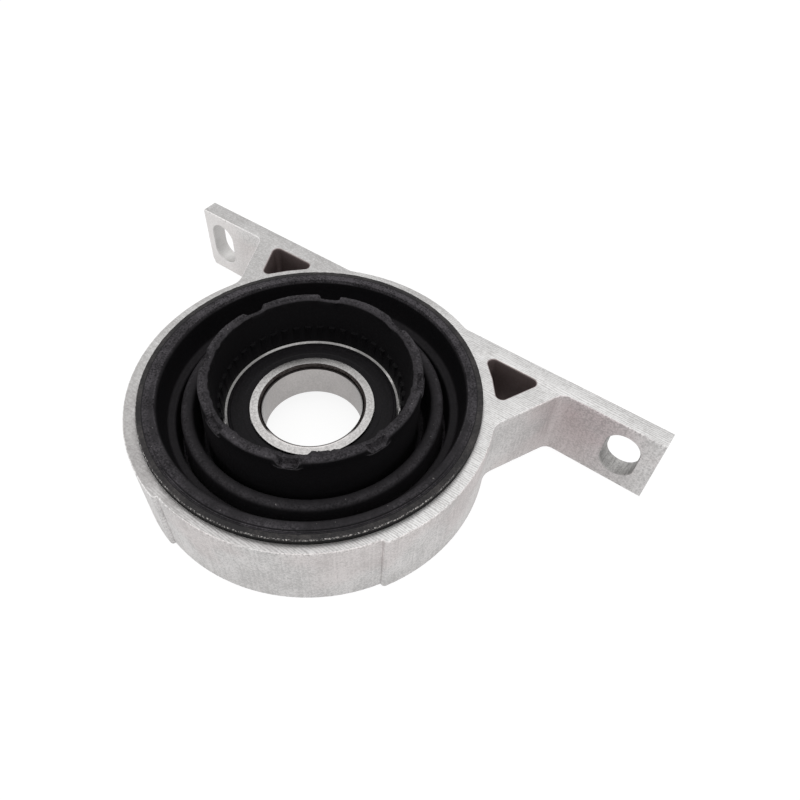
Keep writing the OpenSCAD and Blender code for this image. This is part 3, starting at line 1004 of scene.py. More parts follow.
    def slot_cutter(self, x: float, finishes: list[bpy.types.Material]) -> bpy.types.Object:
        """A stadium carried through the bar, which flares at both mouths to break their edges.

        Args:
            x: The slot's middle along the bar.
            finishes: The piece's finishes.

        Returns:
            A scratch object for a boolean.
        """
        half = (self.slot_len - self.slot_w) / 2.0
        middle = (self.low + self.top) / 2.0
        radius = self.slot_w / 2.0
        stadium = Outline(self.slot_arc_step).arc(np.array([0.0, half]), radius, 0.0, 180.0)
        loop = stadium.arc(np.array([0.0, -half]), radius, 180.0, 360.0).loop()
        past = 1.0
        depth = np.array([-past, self.edge, self.bar_t - self.edge, self.bar_t + past])
        grow = np.array([past + self.edge, 0.0, 0.0, past + self.edge])
        flat = loop[None] + mitres(loop)[None] * grow[:, None, None]
        y = np.broadcast_to((self.front_y + depth)[:, None], flat.shape[:2])
        points = np.stack([flat[..., 0] + x, y, flat[..., 1] + middle], axis=-1)
        return self.cutter(points, finishes)

    def clip_cutter(self, finishes: list[bpy.types.Material]) -> bpy.types.Object:
        """A prism that takes off the left ear's lower corner.

        Args:
            finishes: The piece's finishes.

        Returns:
            A scratch object for a boolean.
        """
        past = 2.0
        loop = np.array([[-past, -past], [self.clip_w * (1 + past / self.clip_h), -past],
                         [-past, self.clip_h * (1 + past / self.clip_w)]])
        depth = np.array([-past, self.bar_t + past])
        flat = np.broadcast_to(loop[None], (2, 3, 2))
        y = np.broadcast_to((self.front_y + depth)[:, None], (2, 3))
        points = np.stack([flat[..., 0] + self.bar_left, y, flat[..., 1] + self.low], axis=-1)
        return self.cutter(points, finishes)

    @staticmethod
    def cutter(points: Array, finishes: list[bpy.types.Material]) -> bpy.types.Object:
        """A closed solid from rings of points along Y, whose cut takes the last finish.

        Args:
            points: Rings, points round a ring, and x, y and z.
            finishes: The piece's finishes.

        Returns:
            A scratch object for a boolean.
        """
        rings, count = points.shape[:2]
        grid = np.arange(rings * count).reshape(rings, count)
        beside = np.roll(grid, -1, axis=1)
        sides = np.stack([grid[:-1], grid[1:], beside[1:], beside[:-1]], axis=-1).reshape(-1, 4)
        ends = np.stack([grid[0], grid[-1][::-1]])
        faces = len(sides) + 2
        return make_piece("slot_cutter", points.reshape(-1, 3), [sides, ends], np.ones(faces),
                          finishes, np.full(faces, len(finishes) - 1), {})

    @staticmethod
    def cut(piece: bpy.types.Object, cutter: bpy.types.Object) -> None:
        """Takes a cutter out of a piece for good, and removes it.

        Args:
            piece: The piece to cut.
            cutter: The scratch object.
        """
        boolean = piece.modifiers.new("cut", "BOOLEAN")
        boolean.operation, boolean.solver, boolean.object = "DIFFERENCE", "EXACT", cutter
        graph = bpy.context.evaluated_depsgraph_get()
        shape = bpy.data.meshes.new_from_object(piece.evaluated_get(graph))
        piece.modifiers.clear()
        old, piece.data = piece.data, shape
        bpy.data.meshes.remove(old)
        bpy.data.objects.remove(cutter)
        shape.name = piece.name


class Corner(NamedTuple):
    """A corner of a revolved section, and the straight run that leaves it."""

    r: float
    z: float
    rounding: float = 0.0
    dust: float = 0.0
    steps: int = 1
    # Painted light that lifts the rubber in its hollows and on its shaded flanks.
    painted_light: float = 0.0


@dataclass(frozen=True)
class Section:
    """A closed section in radius and height, drawn as corners with roundings."""

    corners: tuple[Corner, ...]
    arc_steps: int = 5

    def sample(self) -> tuple[Array, Array]:
        """Points of the section.

        A rounded corner becomes an arc whose points turn evenly about its centre, and each straight
        run is cut into its number of equal steps.

        Returns:
            Rows of radius and height, and rows of dust and painted light.
        """
        ends = [self._arc(i) for i in range(len(self.corners))]
        points, marks = [], []
        for i, corner in enumerate(self.corners):
            after = (i + 1) % len(self.corners)
            here, there = (np.array([c.dust, c.painted_light]) for c in (corner, self.corners[after]))
            t = np.arange(1, corner.steps)[:, None] / corner.steps
            points += [ends[i], ends[i][-1] * (1.0 - t) + ends[after][0] * t]
            marks += [np.tile(here, (len(ends[i]), 1)), here * (1.0 - t) + there * t]
        return np.concatenate(points), np.concatenate(marks)

    def _arc(self, i: int) -> Array:
        """Rounds a corner: its centre + the first offset, turned evenly to the last one.

        Args:
            i: The corner's number.

        Returns:
            Points of the arc, or the corner itself where it isn't rounded.
        """
        here = self.corners[i]
        b = np.array([here.r, here.z])
        if here.rounding <= 0.0:
            return b[None]
        before, after = self.corners[i - 1], self.corners[(i + 1) % len(self.corners)]
        u, v = unit(np.array([before.r, before.z]) - b), unit(np.array([after.r, after.z]) - b)
        half = math.acos(float(u @ v)) / 2.0
        run = here.rounding / math.tan(half)
        centre = b + unit(u + v) * here.rounding / math.sin(half)
        first, last = b + u * run - centre, b + v * run - centre
        sweep = (math.pi - 2.0 * half) * np.sign(first[0] * last[1] - first[1] * last[0])
        a = np.linspace(0.0, sweep, self.arc_steps + 1)[:, None]
        turned = np.concatenate([first[0] * np.cos(a) - first[1] * np.sin(a),
                                 first[0] * np.sin(a) + first[1] * np.cos(a)], axis=1)
        return centre + turned


def revolve(name: str, angles: Array, r: Array, z: Array, material: bpy.types.Material,
            marks: dict[Mark, Array], sharp: float = 50.0,
            shift: Union[Array, float] = 0.0) -> bpy.types.Object:
    """Closes a ring over a grid of angles and section points: (r cos a, r sin a + shift, z).

    Args:
        name: The piece's name.
        angles: Angles round the axis in radians, rising.
        r: Radius at each angle and section point.
        z: Height at each angle and section point.
        material: The piece's finish.
        marks: Point attributes over the same grid.
        sharp: Angle in degrees from which an edge is shaded sharp.
        shift: Move of each section point towards +Y.

    Returns:
        The object, with its faces pointing outwards.
    """
    turns, count = r.shape
    turn = angles[:, None]
    points = np.stack([r * np.cos(turn), r * np.sin(turn) + shift, z], axis=-1)
    grid = np.arange(turns * count).reshape(turns, count)
    area = float((r[0] * np.roll(z[0], -1) - np.roll(r[0], -1) * z[0]).sum())
    grid = grid if area > 0.0 else grid[:, ::-1]
    ahead, beside = np.roll(grid, -1, axis=0), np.roll(grid, -1, axis=1)
    quads = np.stack([grid, ahead, np.roll(ahead, -1, axis=1), beside], axis=-1).reshape(-1, 4)
    flat_marks = {key: values.reshape(-1) for key, values in marks.items()}
    piece = make_piece(name, points.reshape(-1, 3), [quads], np.ones(len(quads)), [material],
                       np.zeros(len(quads)), flat_marks)
    piece.data.set_sharp_from_angle(angle=math.radians(sharp))
    return piece


@dataclass
class Sleeve:
    """The pressed steel sleeve that the rubber is bonded into."""

    inner_r: float = 47.9
    outer_r: float = 49.5
    low: float = -10.5
    top: float = 15.4
    rounding: float = 0.4
    seam_z: float = 13.5
    seam_w: float = 1.1
    # Where the chipped edge gathers as a painted glint, and how far round it reaches.
    wear_glint_towards: float = -76.0
    wear_glint_turn: Span = (0.05, 0.55)
    worn_out: Span = (0.9, 0.3)
    worn_up: Span = (1.3, 0.9)
    least_wear_glint: float = 0.12
    unevenness: float = 0.05
    uneven_seed: int = 11
    uneven_orders: Orders = (20, 120)
    turns: int = 480

    def build(self, coat: bpy.types.Material) -> bpy.types.Object:
        """Revolves the sleeve's section: a slightly uneven top, a chipped edge with painted glint, a painted
        shadow at its foot.

        Args:
            coat: The coated finish.

        Returns:
            The finished piece, riding on its body.
        """
        section = Section((
            Corner(self.inner_r, self.low),
            Corner(self.outer_r, self.low, self.rounding),
            Corner(self.outer_r, self.seam_z),
            Corner(self.outer_r, self.seam_z + self.seam_w, 0.0, 0.0, 3),
            Corner(self.outer_r, self.top, self.rounding, 0.0, 3),
            Corner(self.inner_r, self.top),
        ))
        shape, _ = section.sample()
        angles = np.arange(self.turns) * TURN / self.turns
        lift = smooth_step(self.seam_z, self.top, shape[:, 1]) * self.unevenness
        uneven = ripple(angles, self.uneven_seed, self.uneven_orders)
        z = shape[None, :, 1] + uneven[:, None] * lift
        r = np.broadcast_to(shape[None, :, 0], z.shape)
        inner, outer = (self.outer_r - share * self.rounding for share in self.worn_out)
        lower, upper = (self.top - share * self.rounding for share in self.worn_up)
        edge = smooth_step(lower, upper, shape[:, 1]) * smooth_step(inner, outer, shape[:, 0])
        # Painted glint: the edge's chips gather on the side facing the front, with a little of them all
        # round.
        turned = smooth_step(*self.wear_glint_turn, facing(angles, self.wear_glint_towards))
        front = self.least_wear_glint + (1.0 - self.least_wear_glint) * turned
        # Painted shadow: dark everywhere below just above the bracket's top, fading out towards the sleeve's
        # top edge.
        foot_shadow = 1.0 - smooth_step(self.seam_z + self.seam_w, self.top - self.rounding, shape[:, 1])
        marks = {Mark.EDGE: front[:, None] * edge[None],
                 Mark.PAINTED_SHADE: np.broadcast_to(foot_shadow[None], z.shape)}
        piece = revolve("steel_sleeve", angles, r, z, coat, marks)
        dress(piece, "outer_sleeve")
        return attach(piece, Body.BRACKET.value)


@dataclass(frozen=True)
class CollarWear:
    """How the moulded collar departs from its clean shape; a span holds a ramp's two ends."""

    ragged_seed: int = 5
    ragged_orders: Orders = (40, 260)
    ragged_waves: int = 24
    torn_seed: int = 23
    torn_orders: Orders = (6, 60)
    torn_waves: int = 16
    torn_depth: float = 0.35
    top_h: float = 1.0
    top_ragged: float = 0.10
    crown: float = 0.5
    crown_power: int = 4
    bulge: float = 0.25
    lip_w: float = 0.9
    rind: Span = (1.2, 0.3)
    flank_wander: float = 0.12
    flash: float = 0.3
    flash_half: float = 4.5
    flash_fade: float = 1.2
    flash_mean: float = 0.6
    flash_ragged: float = 0.8
    flash_most: float = 1.4
    flap: float = 1.25
    flap_ragged: float = 0.1
    flap_start: Span = (-51.5, -50.0)
    flap_end: Span = (-47.0, -31.0)
    lean: float = 0.4


@dataclass(frozen=True)
class Settling:
    """How mould dust lies on the rubber; a drift is a direction in degrees and a weight."""

    upward: Span = (0.15, 1.0)
    steep: Span = (0.22, 0.6)
    level: float = 0.9
    ragged: float = 0.07
    drifts: tuple[Span, ...] = ((115.0, 1.1), (240.0, 0.25), (300.0, -0.15))
    edge: Span = (1.0, 0.2)
    notch_edge: float = 0.35
    ridge: float = 0.8
    rim: float = 0.9
    faint_turn: Span = (0.2, 0.9)
    most: float = 1.7


@dataclass
class Bellows:
    """The moulded rubber: notched collar, fold and rim, which stretches as the hub floats."""

    bearing_r: float = 27.5
    bearing_face: float = 6.5
    carrier_r: float = 29.0
    carrier_top: float = 10.0
    bond: float = 0.05
    cover_in_r: float = 26.3
    collar_r: float = 31.9
    lip_in_r: float = 29.0
    lip_z: float = 21.1
    lip_round: float = 0.45
    edge_round: float = 0.85
    pad_count: int = 8
    pad_turn: float = 6.5
    notch_w: float = 6.8
    notch_taper: float = 1.6
    notch_h: float = 2.3
    web_t: float = 1.1
    flank_soft: float = 0.75
    web_drop: float = 0.45
    pad_step: float = 0.2
    notch_past: float = 1.0
    flash_round: float = 0.3
    ridge_h: float = 0.2
    front: float = -52.5
    foot_gap: float = 0.3
    lip_sag: float = 0.65
    fold_sag: float = 0.5
    rim_sag: float = 0.75
    rib_count: int = 45
    rib_turn: float = 4.2
    rib_w: float = 1.7
    rib_rise: float = 5.4
    rib_inset: float = 0.15
    rib_flank: Span = (0.45, 0.61)
    rib_edges: tuple[float, ...] = (-0.60, -0.46, 0.46, 0.60)
    valley_z: float = -4.1
    web_low: float = -6.5
    fold_in_r: float = 34.75
    fold_out_r: float = 38.4
    fold_flare: float = 0.9
    fold_wall: float = 1.3
    crest_z: float = 9.8
    crest_round: float = 1.3
    ledge_in_r: float = 40.3
    ledge_out_r: float = 42.8
    ledge_z: float = 6.6
    rim_in_r: float = 44.6
    rim_out_r: float = 47.9
    rim_z: float = 15.4
    rim_low: float = -9.5
    groove_r: float = 46.8
    groove_w: float = 0.25
    groove_depth: float = 0.35
    score_r: float = 47.4
    score_depth: float = 0.2
    held_r: float = 44.0
    free_r: float = 33.0
    turns: int = 264
    flank_reach: float = 1.5
    flank_turns: int = 13
    least_turn: float = 0.05
    arc_steps: int = 4
    sharp: float = 60.0
    wear: CollarWear = CollarWear()
    dusting: Settling = Settling()

    def section(self, notched: bool) -> Section:
        """The moulding's section through a pad, or through a notch with the same points.

        Args:
            notched: Whether the collar's top is cut down outside its inner web.

        Returns:
            The section.
        """
        web_r = self.lip_in_r + self.web_t
        step_z = self.lip_z - self.notch_h if notched else self.lip_z
        web_z = self.lip_z - (self.web_drop if notched else self.pad_step)
        edge_round = self.flash_round if notched else self.edge_round
        ridge_z = self.lip_z - self.notch_h - (2.0 * self.flash_round if notched else 0.0)
        rib_z = self.bearing_face + self.rib_rise
        ledge, web_draft, below_edge = 0.04, 0.12, 0.2
        foot_z = self.lip_z - self.notch_h - self.edge_round - below_edge
        floor = self.bearing_face + self.bond
        hollow_in = self.fold_in_r - self.fold_flare + self.fold_wall
        hollow_out = self.fold_out_r + self.fold_flare - self.fold_wall
        hollow_z = self.crest_z - self.fold_wall
        hollow_round, inner_round, outer_round, under_round = 0.4, 0.75, 0.4, 0.9
        ledge_round, rim_round = 0.9, 1.5
        # A corner's last number is painted light, which lifts the rubber in its hollows.
        return Section((
            Corner(self.cover_in_r, floor, steps=3, painted_light=0.10),
            Corner(self.wall_r(rib_z - ledge), rib_z - ledge),
            Corner(self.wall_r(rib_z + ledge), rib_z + ledge, steps=6),
            Corner(self.lip_in_r, web_z, self.lip_round, 0.7, 2),
            Corner(web_r, web_z, 0.0, 0.9),
            Corner(web_r + web_draft, step_z, 0.0, 0.9, 3),
            Corner(self.collar_r, step_z, edge_round, 0.95),
            Corner(self.collar_r, ridge_z + self.ridge_h),
            Corner(self.collar_r, ridge_z),
            Corner(self.collar_r, ridge_z - self.ridge_h),
            Corner(self.collar_r, foot_z, 0.0, 0.0, 5, 0.02),
            Corner(self.collar_r, self.valley_z, inner_round, 0.3, 2, 0.3),
            Corner(self.fold_in_r - self.fold_flare, self.valley_z, inner_round, 0.3, 5, 0.4),
            Corner(self.fold_in_r, self.crest_z, self.crest_round, 0.32, 2, 0.16),
            Corner(self.fold_out_r, self.crest_z, self.crest_round, 0.36, 5, 0.38),
            Corner(self.fold_out_r + self.fold_flare, self.valley_z, outer_round, 0.3, 2, 1.0),
            Corner(self.ledge_in_r, self.valley_z, outer_round, 0.3, 4, 0.8),
            Corner(self.ledge_in_r, self.ledge_z, ledge_round, 0.3, 2, 0.10),
            Corner(self.ledge_out_r, self.ledge_z, ledge_round, 0.3, 4, 0.14),
            Corner(self.rim_in_r, self.rim_z, rim_round, 0.58, 2),
            Corner(self.groove_r - self.groove_w, self.rim_z, 0.0, 0.78),
            Corner(self.groove_r, self.rim_z - self.groove_depth, 0.0, 0.1),
            Corner(self.groove_r + self.groove_w, self.rim_z, 0.0, 0.8),
            Corner(self.score_r - self.groove_w / 2.0, self.rim_z, 0.0, 0.85),
            Corner(self.score_r, self.rim_z - self.score_depth, 0.0, 0.2),
            Corner(self.score_r + self.groove_w / 2.0, self.rim_z, 0.0, 0.9),
            Corner(self.rim_out_r, self.rim_z, 0.0, 0.95, 4),
            Corner(self.rim_out_r, self.rim_low, 0.0, 0.2, 2),
            Corner(self.rim_in_r, self.rim_low, under_round, 0.3, 2),
            Corner(self.ledge_out_r, self.web_low, under_round, 0.2, 3),
            Corner(hollow_out, self.web_low, under_round, 0.2, 4),
            Corner(self.fold_out_r - self.fold_wall, hollow_z, hollow_round),
            Corner(self.fold_in_r + self.fold_wall, hollow_z, hollow_round, 0.0, 4),
            Corner(hollow_in, self.web_low, under_round, 0.2, 3),
            Corner(self.carrier_r + self.bond, self.web_low, 0.0, 0.2, 4),
            Corner(self.carrier_r + self.bond, self.carrier_top + self.bond),
            Corner(self.bearing_r - self.bond, self.carrier_top + self.bond, steps=2),
            Corner(self.bearing_r - self.bond, floor, steps=2),
        ), self.arc_steps)

    def wall_r(self, z: float) -> float:
        """Radius of the collar's tapering inner wall: a straight line from its foot to its lip."""
        share = (z - self.bearing_face) / (self.lip_z - self.bearing_face)
        return self.cover_in_r + (self.lip_in_r - self.cover_in_r) * share

    def notch_half(self, r: Array) -> Array:
        """Half a notch's width, which grows in a straight line outwards from the web.

        Args:
            r: Radii.

        Returns:
            The half width at each radius.
        """
        web_r = self.lip_in_r + self.web_t
        share = (r - web_r) / (self.collar_r + self.notch_past - web_r)
        return (self.notch_w - self.notch_taper * (1.0 - share)) / 2.0

    def angles(self) -> Array:
        """Angles round the collar: an even spread, and more at the notches' flanks and the ribs.

        Returns:
            Rising angles in radians, none closer to the next than the least turn.
        """
        even = np.arange(self.turns) * TURN / self.turns
        middle = self.pad_turn + (np.arange(self.pad_count) + 0.5) * 360.0 / self.pad_count
        notch = np.radians(middle)
        half = self.notch_half(np.array(self.collar_r)) / self.collar_r
        spread = np.linspace(-self.flank_reach, self.flank_reach, self.flank_turns) / self.collar_r
        flanks = (notch[:, None, None] + np.array([-half, half])[:, None] + spread).ravel()
        rib = np.radians(self.rib_turn + np.arange(self.rib_count) * 360.0 / self.rib_count)
        edge = np.array(self.rib_edges) * self.rib_w / self.cover_in_r
        ribs = (rib[:, None] + edge).ravel()
        found = np.sort(np.concatenate([even, flanks, ribs]) % TURN)
        return found[np.diff(found, prepend=found[-1] - TURN) > math.radians(self.least_turn)]

    def build(self, rubber: bpy.types.Material) -> bpy.types.Object:
        """Blends the pad and notch sections round the collar, adds the ribs and lets it stretch.

        Args:
            rubber: The dusty finish.

        Returns:
            The finished piece, blended between its two bodies.
        """
        pad, marks = self.section(False).sample()
        notch, _ = self.section(True).sample()
        angles = self.angles()
        w = self.wear
        ragged = ripple(angles, w.ragged_seed, w.ragged_orders, w.ragged_waves)[:, None]
        off = self.notch_off(angles)
        share = self.notch_share(off, pad[:, 0], ragged)
        r = pad[:, 0] * (1.0 - share) + notch[:, 0] * share
        z = pad[:, 1] * (1.0 - share) + notch[:, 1] * share
        ridge = self.flash_ridge(off, pad)
        r, z = self.wear_collar(angles, off, pad, share, ragged, r + w.flash * ridge, z)
        r = self.raise_ribs(angles, pad, r)
        scored = (pad[:, 0] > self.rim_in_r) & (pad[:, 1] > self.crest_z)
        faint = 1.0 - smooth_step(*self.dusting.faint_turn, facing(angles, self.front))
        z = z + np.where(scored, self.rim_z - pad[:, 1], 0.0)[None] * faint[:, None]
        settled = self.settle(angles, pad, marks, share, ragged)
        dust = np.maximum(settled, self.dusting.ridge * ridge)
        closed = scored & (pad[:, 1] < self.rim_z - self.score_depth / 2.0)
        dust = dust + closed[None] * faint[:, None] * (self.dusting.rim - dust)
        piece = revolve("bellows_rubber", angles, r, z, rubber, {Mark.DUST_AND_PAINTED_LIGHT: dust}, self.sharp,
                        self.sag(pad))
        dress(piece, "rubber_bellows")
        return self.stretch(piece)

    def notch_off(self, angles: Array) -> Array:
        """Angle in radians from each place round the collar to the nearest notch, as a column."""
        step = TURN / self.pad_count
        return np.abs((angles - math.radians(self.pad_turn)) % step - step / 2.0)[:, None]

    def notch_share(self, off: Array, radii: Array, ragged: Array) -> Array:
        """How far each point of the ring belongs to a notch.

        The share falls from 1 to 0 as a cubic ramp across the notch's flank, which wanders.

        Args:
            off: Angle to the nearest notch's middle.
            radii: Radius of each section point.
            ragged: Wander of the flank at each angle.

        Returns:
            The share at each angle and section point.
        """
        across = off * radii[None] + ragged * self.wear.flank_wander
        half = self.notch_half(radii[None])
        return 1.0 - smooth_step(half - self.flank_soft, half + self.flank_soft, across)

    def on_collar(self, pad: Array) -> Array:
        """Whether each section point lies on the collar, inside the fold."""
        return pad[:, 0] < (self.collar_r + self.fold_in_r) / 2.0

    def flash_ridge(self, off: Array, pad: Array) -> Array:
        """Where the mould's flash stands proud: a line at the notches' floors and past their ends.

        Args:
            off: Angle to the nearest notch's middle.
            pad: Section points of a pad.

        Returns:
            How far each angle and section point belongs to the flash.
        """
        level = np.abs(pad[:, 1] - self.lip_z + self.notch_h) < self.ridge_h / 2.0
        line = level & (pad[:, 0] > self.collar_r - NEAR_MM) & self.on_collar(pad)
        half = self.wear.flash_half
        fade = smooth_step(half - self.wear.flash_fade, half, off * self.collar_r)
        return (1.0 - fade) * line[None]

    def wear_collar(self, angles: Array, off: Array, pad: Array, share: Array, ragged: Array,
                    r: Array, z: Array) -> tuple[Array, Array]:
        """Bends the collar's top out of its clean shape.

        Pads sink towards their ends by the fourth power of the way there and bulge outwards
        between them. The inner lip is torn by a seeded ripple, with one flap that hangs in beside
        the front, the notches' floors end in a ragged flash, and the front side leans in.

        Args:
            angles: Angles round the collar.
            off: Angle to the nearest notch's middle.
            pad: Section points of a pad.
            share: How far each point belongs to a notch.
            ragged: Fine unevenness at each angle.
            r: Radii before the wear.
            z: Heights before the wear.

        Returns:
            The worn radii and heights.
        """
        w = self.wear
        along = 1.0 - off * self.pad_count / math.pi
        torn = np.clip(ripple(angles, w.torn_seed, w.torn_orders, w.torn_waves), 0.0, None)
        top = smooth_step(self.lip_z - w.top_h, self.lip_z, pad[:, 1])
        lip = top * (1.0 - smooth_step(self.lip_in_r, self.lip_in_r + w.lip_w, pad[:, 0]))
        inner, outer = (self.collar_r - inset for inset in w.rind)
        rind = top * smooth_step(inner, outer, pad[:, 0])
        high = smooth_step(self.crest_z, self.lip_z, pad[:, 1]) * self.on_collar(pad)
        turned = (np.degrees(angles) + 180.0) % 360.0 - 180.0
        flap = smooth_step(*w.flap_start, turned) * (1.0 - smooth_step(*w.flap_end, turned))
        hung = w.flap * flap[:, None] * (1.0 + w.flap_ragged * ragged)
        frayed = np.clip(w.flash_mean + w.flash_ragged * ragged, 0.0, w.flash_most)
        leant = w.lean * facing(angles, self.front)[:, None] ** 2
        z = z - w.crown * top * along ** w.crown_power + ragged * top * w.top_ragged
        r = r - lip * (torn[:, None] * w.torn_depth + hung) - leant * high
        r = r + rind * w.bulge * (1.0 - 2.0 * along) * (1.0 - share)
        return r + rind * w.flash * share * frayed, z

    def raise_ribs(self, angles: Array, pad: Array, r: Array) -> Array:
        """Brings the collar's tapering inner wall in to an upright face at each rib.

        Args:
            angles: Angles round the collar.
            pad: Section points of a pad.
            r: Radii before the ribs.

        Returns:
            The radii with the ribs.
        """
        pitch = 360.0 / self.rib_count
        off = (np.degrees(angles) - self.rib_turn + pitch / 2.0) % pitch - pitch / 2.0
        beside = np.abs(np.radians(off))[:, None] * self.cover_in_r
        near, far = (self.rib_w * share for share in self.rib_flank)
        proud = 1.0 - smooth_step(near, far, beside)
        below = pad[:, 1] < self.bearing_face + self.rib_rise
        below = below & (pad[:, 0] < self.bearing_r - NEAR_MM)
        over = np.clip(r - self.cover_in_r - self.rib_inset, 0.0, None)
        return r - np.where(below[None], proud * over, 0.0)

    def sag(self, pad: Array) -> Array:
        """How far the free rubber hangs off centre towards +Y.

        The collar hangs by a cubic ramp over its height, and the membrane by straight lines
        between a few radii.

        Args:
            pad: Section points of a pad.

        Returns:
            The move of each section point.
        """
        r, z = pad.T
        moves = {
            self.collar_r + self.foot_gap: 0.0,
            self.fold_in_r: self.fold_sag,
            self.fold_out_r: self.fold_sag,
            self.ledge_out_r: self.rim_sag,
            self.rim_in_r: self.rim_sag,
            self.groove_r: 0.0,
        }
        lip = self.lip_sag * smooth_step(self.carrier_top, self.lip_z - self.notch_h, z)
        membrane = np.interp(r, list(moves), list(moves.values()))
        return np.where(r < self.collar_r + NEAR_MM, lip, membrane)

    def settle(self, angles: Array, pad: Array, marks: Array, share: Array, ragged: Array) -> Array:
        """Works out the dust: what settles where the section faces up, and the painted light in the hollows.

        A section that runs outwards faces up, and is level where it runs along the radius.

        Args:
            angles: Angles round the collar.
            pad: Section points of a pad.
            marks: Dust and painted light of each section point.
            share: How far each point belongs to a notch.
            ragged: Fine unevenness at each angle.

        Returns:
            The mark of dust and painted light at each angle and section point.
        """
        d = self.dusting
        radius, height = pad.T
        run = np.roll(pad, -1, axis=0) - np.roll(pad, 1, axis=0)
        level = run[:, 0] / np.linalg.norm(run, axis=1)
        upward, steep = smooth_step(*d.upward, level), smooth_step(*d.steep, level)
        band = smooth_step(self.ledge_out_r, self.rim_in_r, radius) * (height > self.crest_z)
        band = band * (1.0 - smooth_step(self.groove_r, self.rim_out_r, radius))
        inner, outer = (self.collar_r - inset for inset in d.edge)
        edge = smooth_step(inner, outer, radius) * (height > self.carrier_top)
        back = facing(angles, self.front + 180.0)[:, None]
        # Painted light: on the rim's band towards the back, steep faces take dust as if level, lightening
        # the slope that faces the front.
        settled = marks[None, :, 0] * (upward + (steep - upward) * band * back)
        settled = settled * (d.level + d.ragged * ragged)
        uneven = sum(weight * facing(angles, towards) for towards, weight in d.drifts)
        settled = settled * (1.0 + uneven[:, None] * band[None])
        settled = settled * (1.0 + d.notch_edge * share * edge[None])
        # Adds the painted light that lifts the hollows.
        return np.clip(settled + marks[None, :, 1], 0.0, d.most)

    def stretch(self, piece: bpy.types.Object) -> bpy.types.Object:
        """Lets the rubber follow the hub at the collar and the bracket at the rim.

        The hub's share is a cubic ramp over the radius, so the membrane between them stretches.

        Args:
            piece: The rubber.

        Returns:
            The same piece.
        """
        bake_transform(piece, Body.BRACKET.value, Body.HUB.value,
                 start=(self.held_r * MM, 0.0, 0.0), end=(self.free_r * MM, 0.0, 0.0))
        mesh = piece.data
        spots = np.empty(len(mesh.vertices) * 3, np.float32)
        mesh.vertices.foreach_get("co", spots)
        r = np.hypot(spots[0::3], spots[1::3]) / MM
        share = 1.0 - smooth_step(self.free_r, self.held_r, r)
        mesh.attributes["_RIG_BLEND"].data.foreach_set("value", share.astype(np.float32))
        return piece


@dataclass
class Seal:
    """One of the bearing's two lip seals, moulded with a shallow ring and a thin lip."""

    inner_r: float = 18.6
    shoulder_r: float = 20.25
    outer_r: float = 25.2
    bead: float = 0.4
    top: float = 6.1
    low: float = 5.0
    middle: float = 5.55
    lip_t: float = 0.6
    ring_in: float = 20.9
    ring_out: float = 24.2
    ring_rise: float = 0.12
    ring_foot: Span = (0.3, 0.2)
    ring_round: float = 0.1
    edge_round: float = 0.2
    skirt: float = 0.6
    dip: float = 0.05
    lip_run: float = 0.4
    lip_rise: float = 0.1
    turns: int = 240
    arc_steps: int = 3
    sharp: float = 40.0

    def build(self, name: str, node: str, side: int,
              rubber: bpy.types.Material) -> bpy.types.Object:
        """Revolves the seal's section on the upper (1) or lower (-1) side.

        Args:
            name: The piece's name.
            node: The node that it stands for.
            side: Sign of its heights.
            rubber: The smooth finish.

        Returns:
            The finished piece, riding on its body.
        """
        lip_z = self.middle + self.lip_t / 2.0
        foot_in, foot_out = self.ring_in - self.ring_foot[0], self.ring_out + self.ring_foot[1]
        section = Section((
            Corner(self.inner_r, self.middle),
            Corner(self.shoulder_r, self.middle),
            Corner(self.shoulder_r + self.skirt, self.low),
            Corner(self.outer_r + self.bead, self.low),
            Corner(self.outer_r + self.bead, self.middle),
            Corner(self.outer_r, self.middle),
            Corner(self.outer_r, self.top, self.edge_round),
            Corner(foot_out, self.top, self.ring_round),
            Corner(self.ring_out, self.top + self.ring_rise, self.ring_round, 0.0, 3),
            Corner(self.ring_in, self.top + self.ring_rise, self.ring_round),
            Corner(foot_in, self.top - self.dip, self.ring_round),
            Corner(self.inner_r + self.lip_run, lip_z + self.lip_rise, self.ring_round),
            Corner(self.inner_r, lip_z),
        ), self.arc_steps)
        shape, _ = section.sample()
        angles = np.arange(self.turns) * TURN / self.turns
        r = np.broadcast_to(shape[None, :, 0], (self.turns, len(shape)))
        z = np.broadcast_to(shape[None, :, 1] * side, r.shape)
        piece = revolve(name, angles, r, z, rubber, {}, self.sharp)
        dress(piece, node)
        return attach(piece, Body.HUB.value)


@dataclass(frozen=True)
class Bearing:
    """The rolling bearing, whose steel pieces keep their own meshes."""

    inner: GroundSteel = GroundSteel("ground_inner", 16.12, 4.95, 0.17)
    outer: GroundSteel = GroundSteel("ground_outer", 0.0, 5.5, 0.10,
                                     (0.27, 0.262, 0.258), (0.16, 0.157, 0.155))
    pressed: PlainSteel = PlainSteel("pressed_steel", (0.50, 0.485, 0.46),
                                     (0.34, 0.33, 0.31), 0.42)
    polished: PlainSteel = PlainSteel("ball_steel", (0.74, 0.74, 0.75),
                                      (0.66, 0.66, 0.67), 0.10, 2.0)

    def dress(self) -> None:
        """Gives each steel node its finish."""
        groups = {
            self.inner: ["inner_race"],
            self.outer: ["outer_race"],
            self.pressed: ["bearing_carrier", "cage_front", "cage_rear", "cage_rivets"],
            self.polished: [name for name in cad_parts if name.startswith("ball_")],
        }
        for finish, nodes in groups.items():
            material = finish.material()
            for node in nodes:
                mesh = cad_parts[node].data
                mesh.materials.clear()
                mesh.materials.append(material)
                LOG.info("%s gets %s", node, material.name)


class Lamp(NamedTuple):
    """A square soft lamp: its name, its place and width in metres, and its watts."""

    name: str
    spot: Spot
    size: float
    watts: float


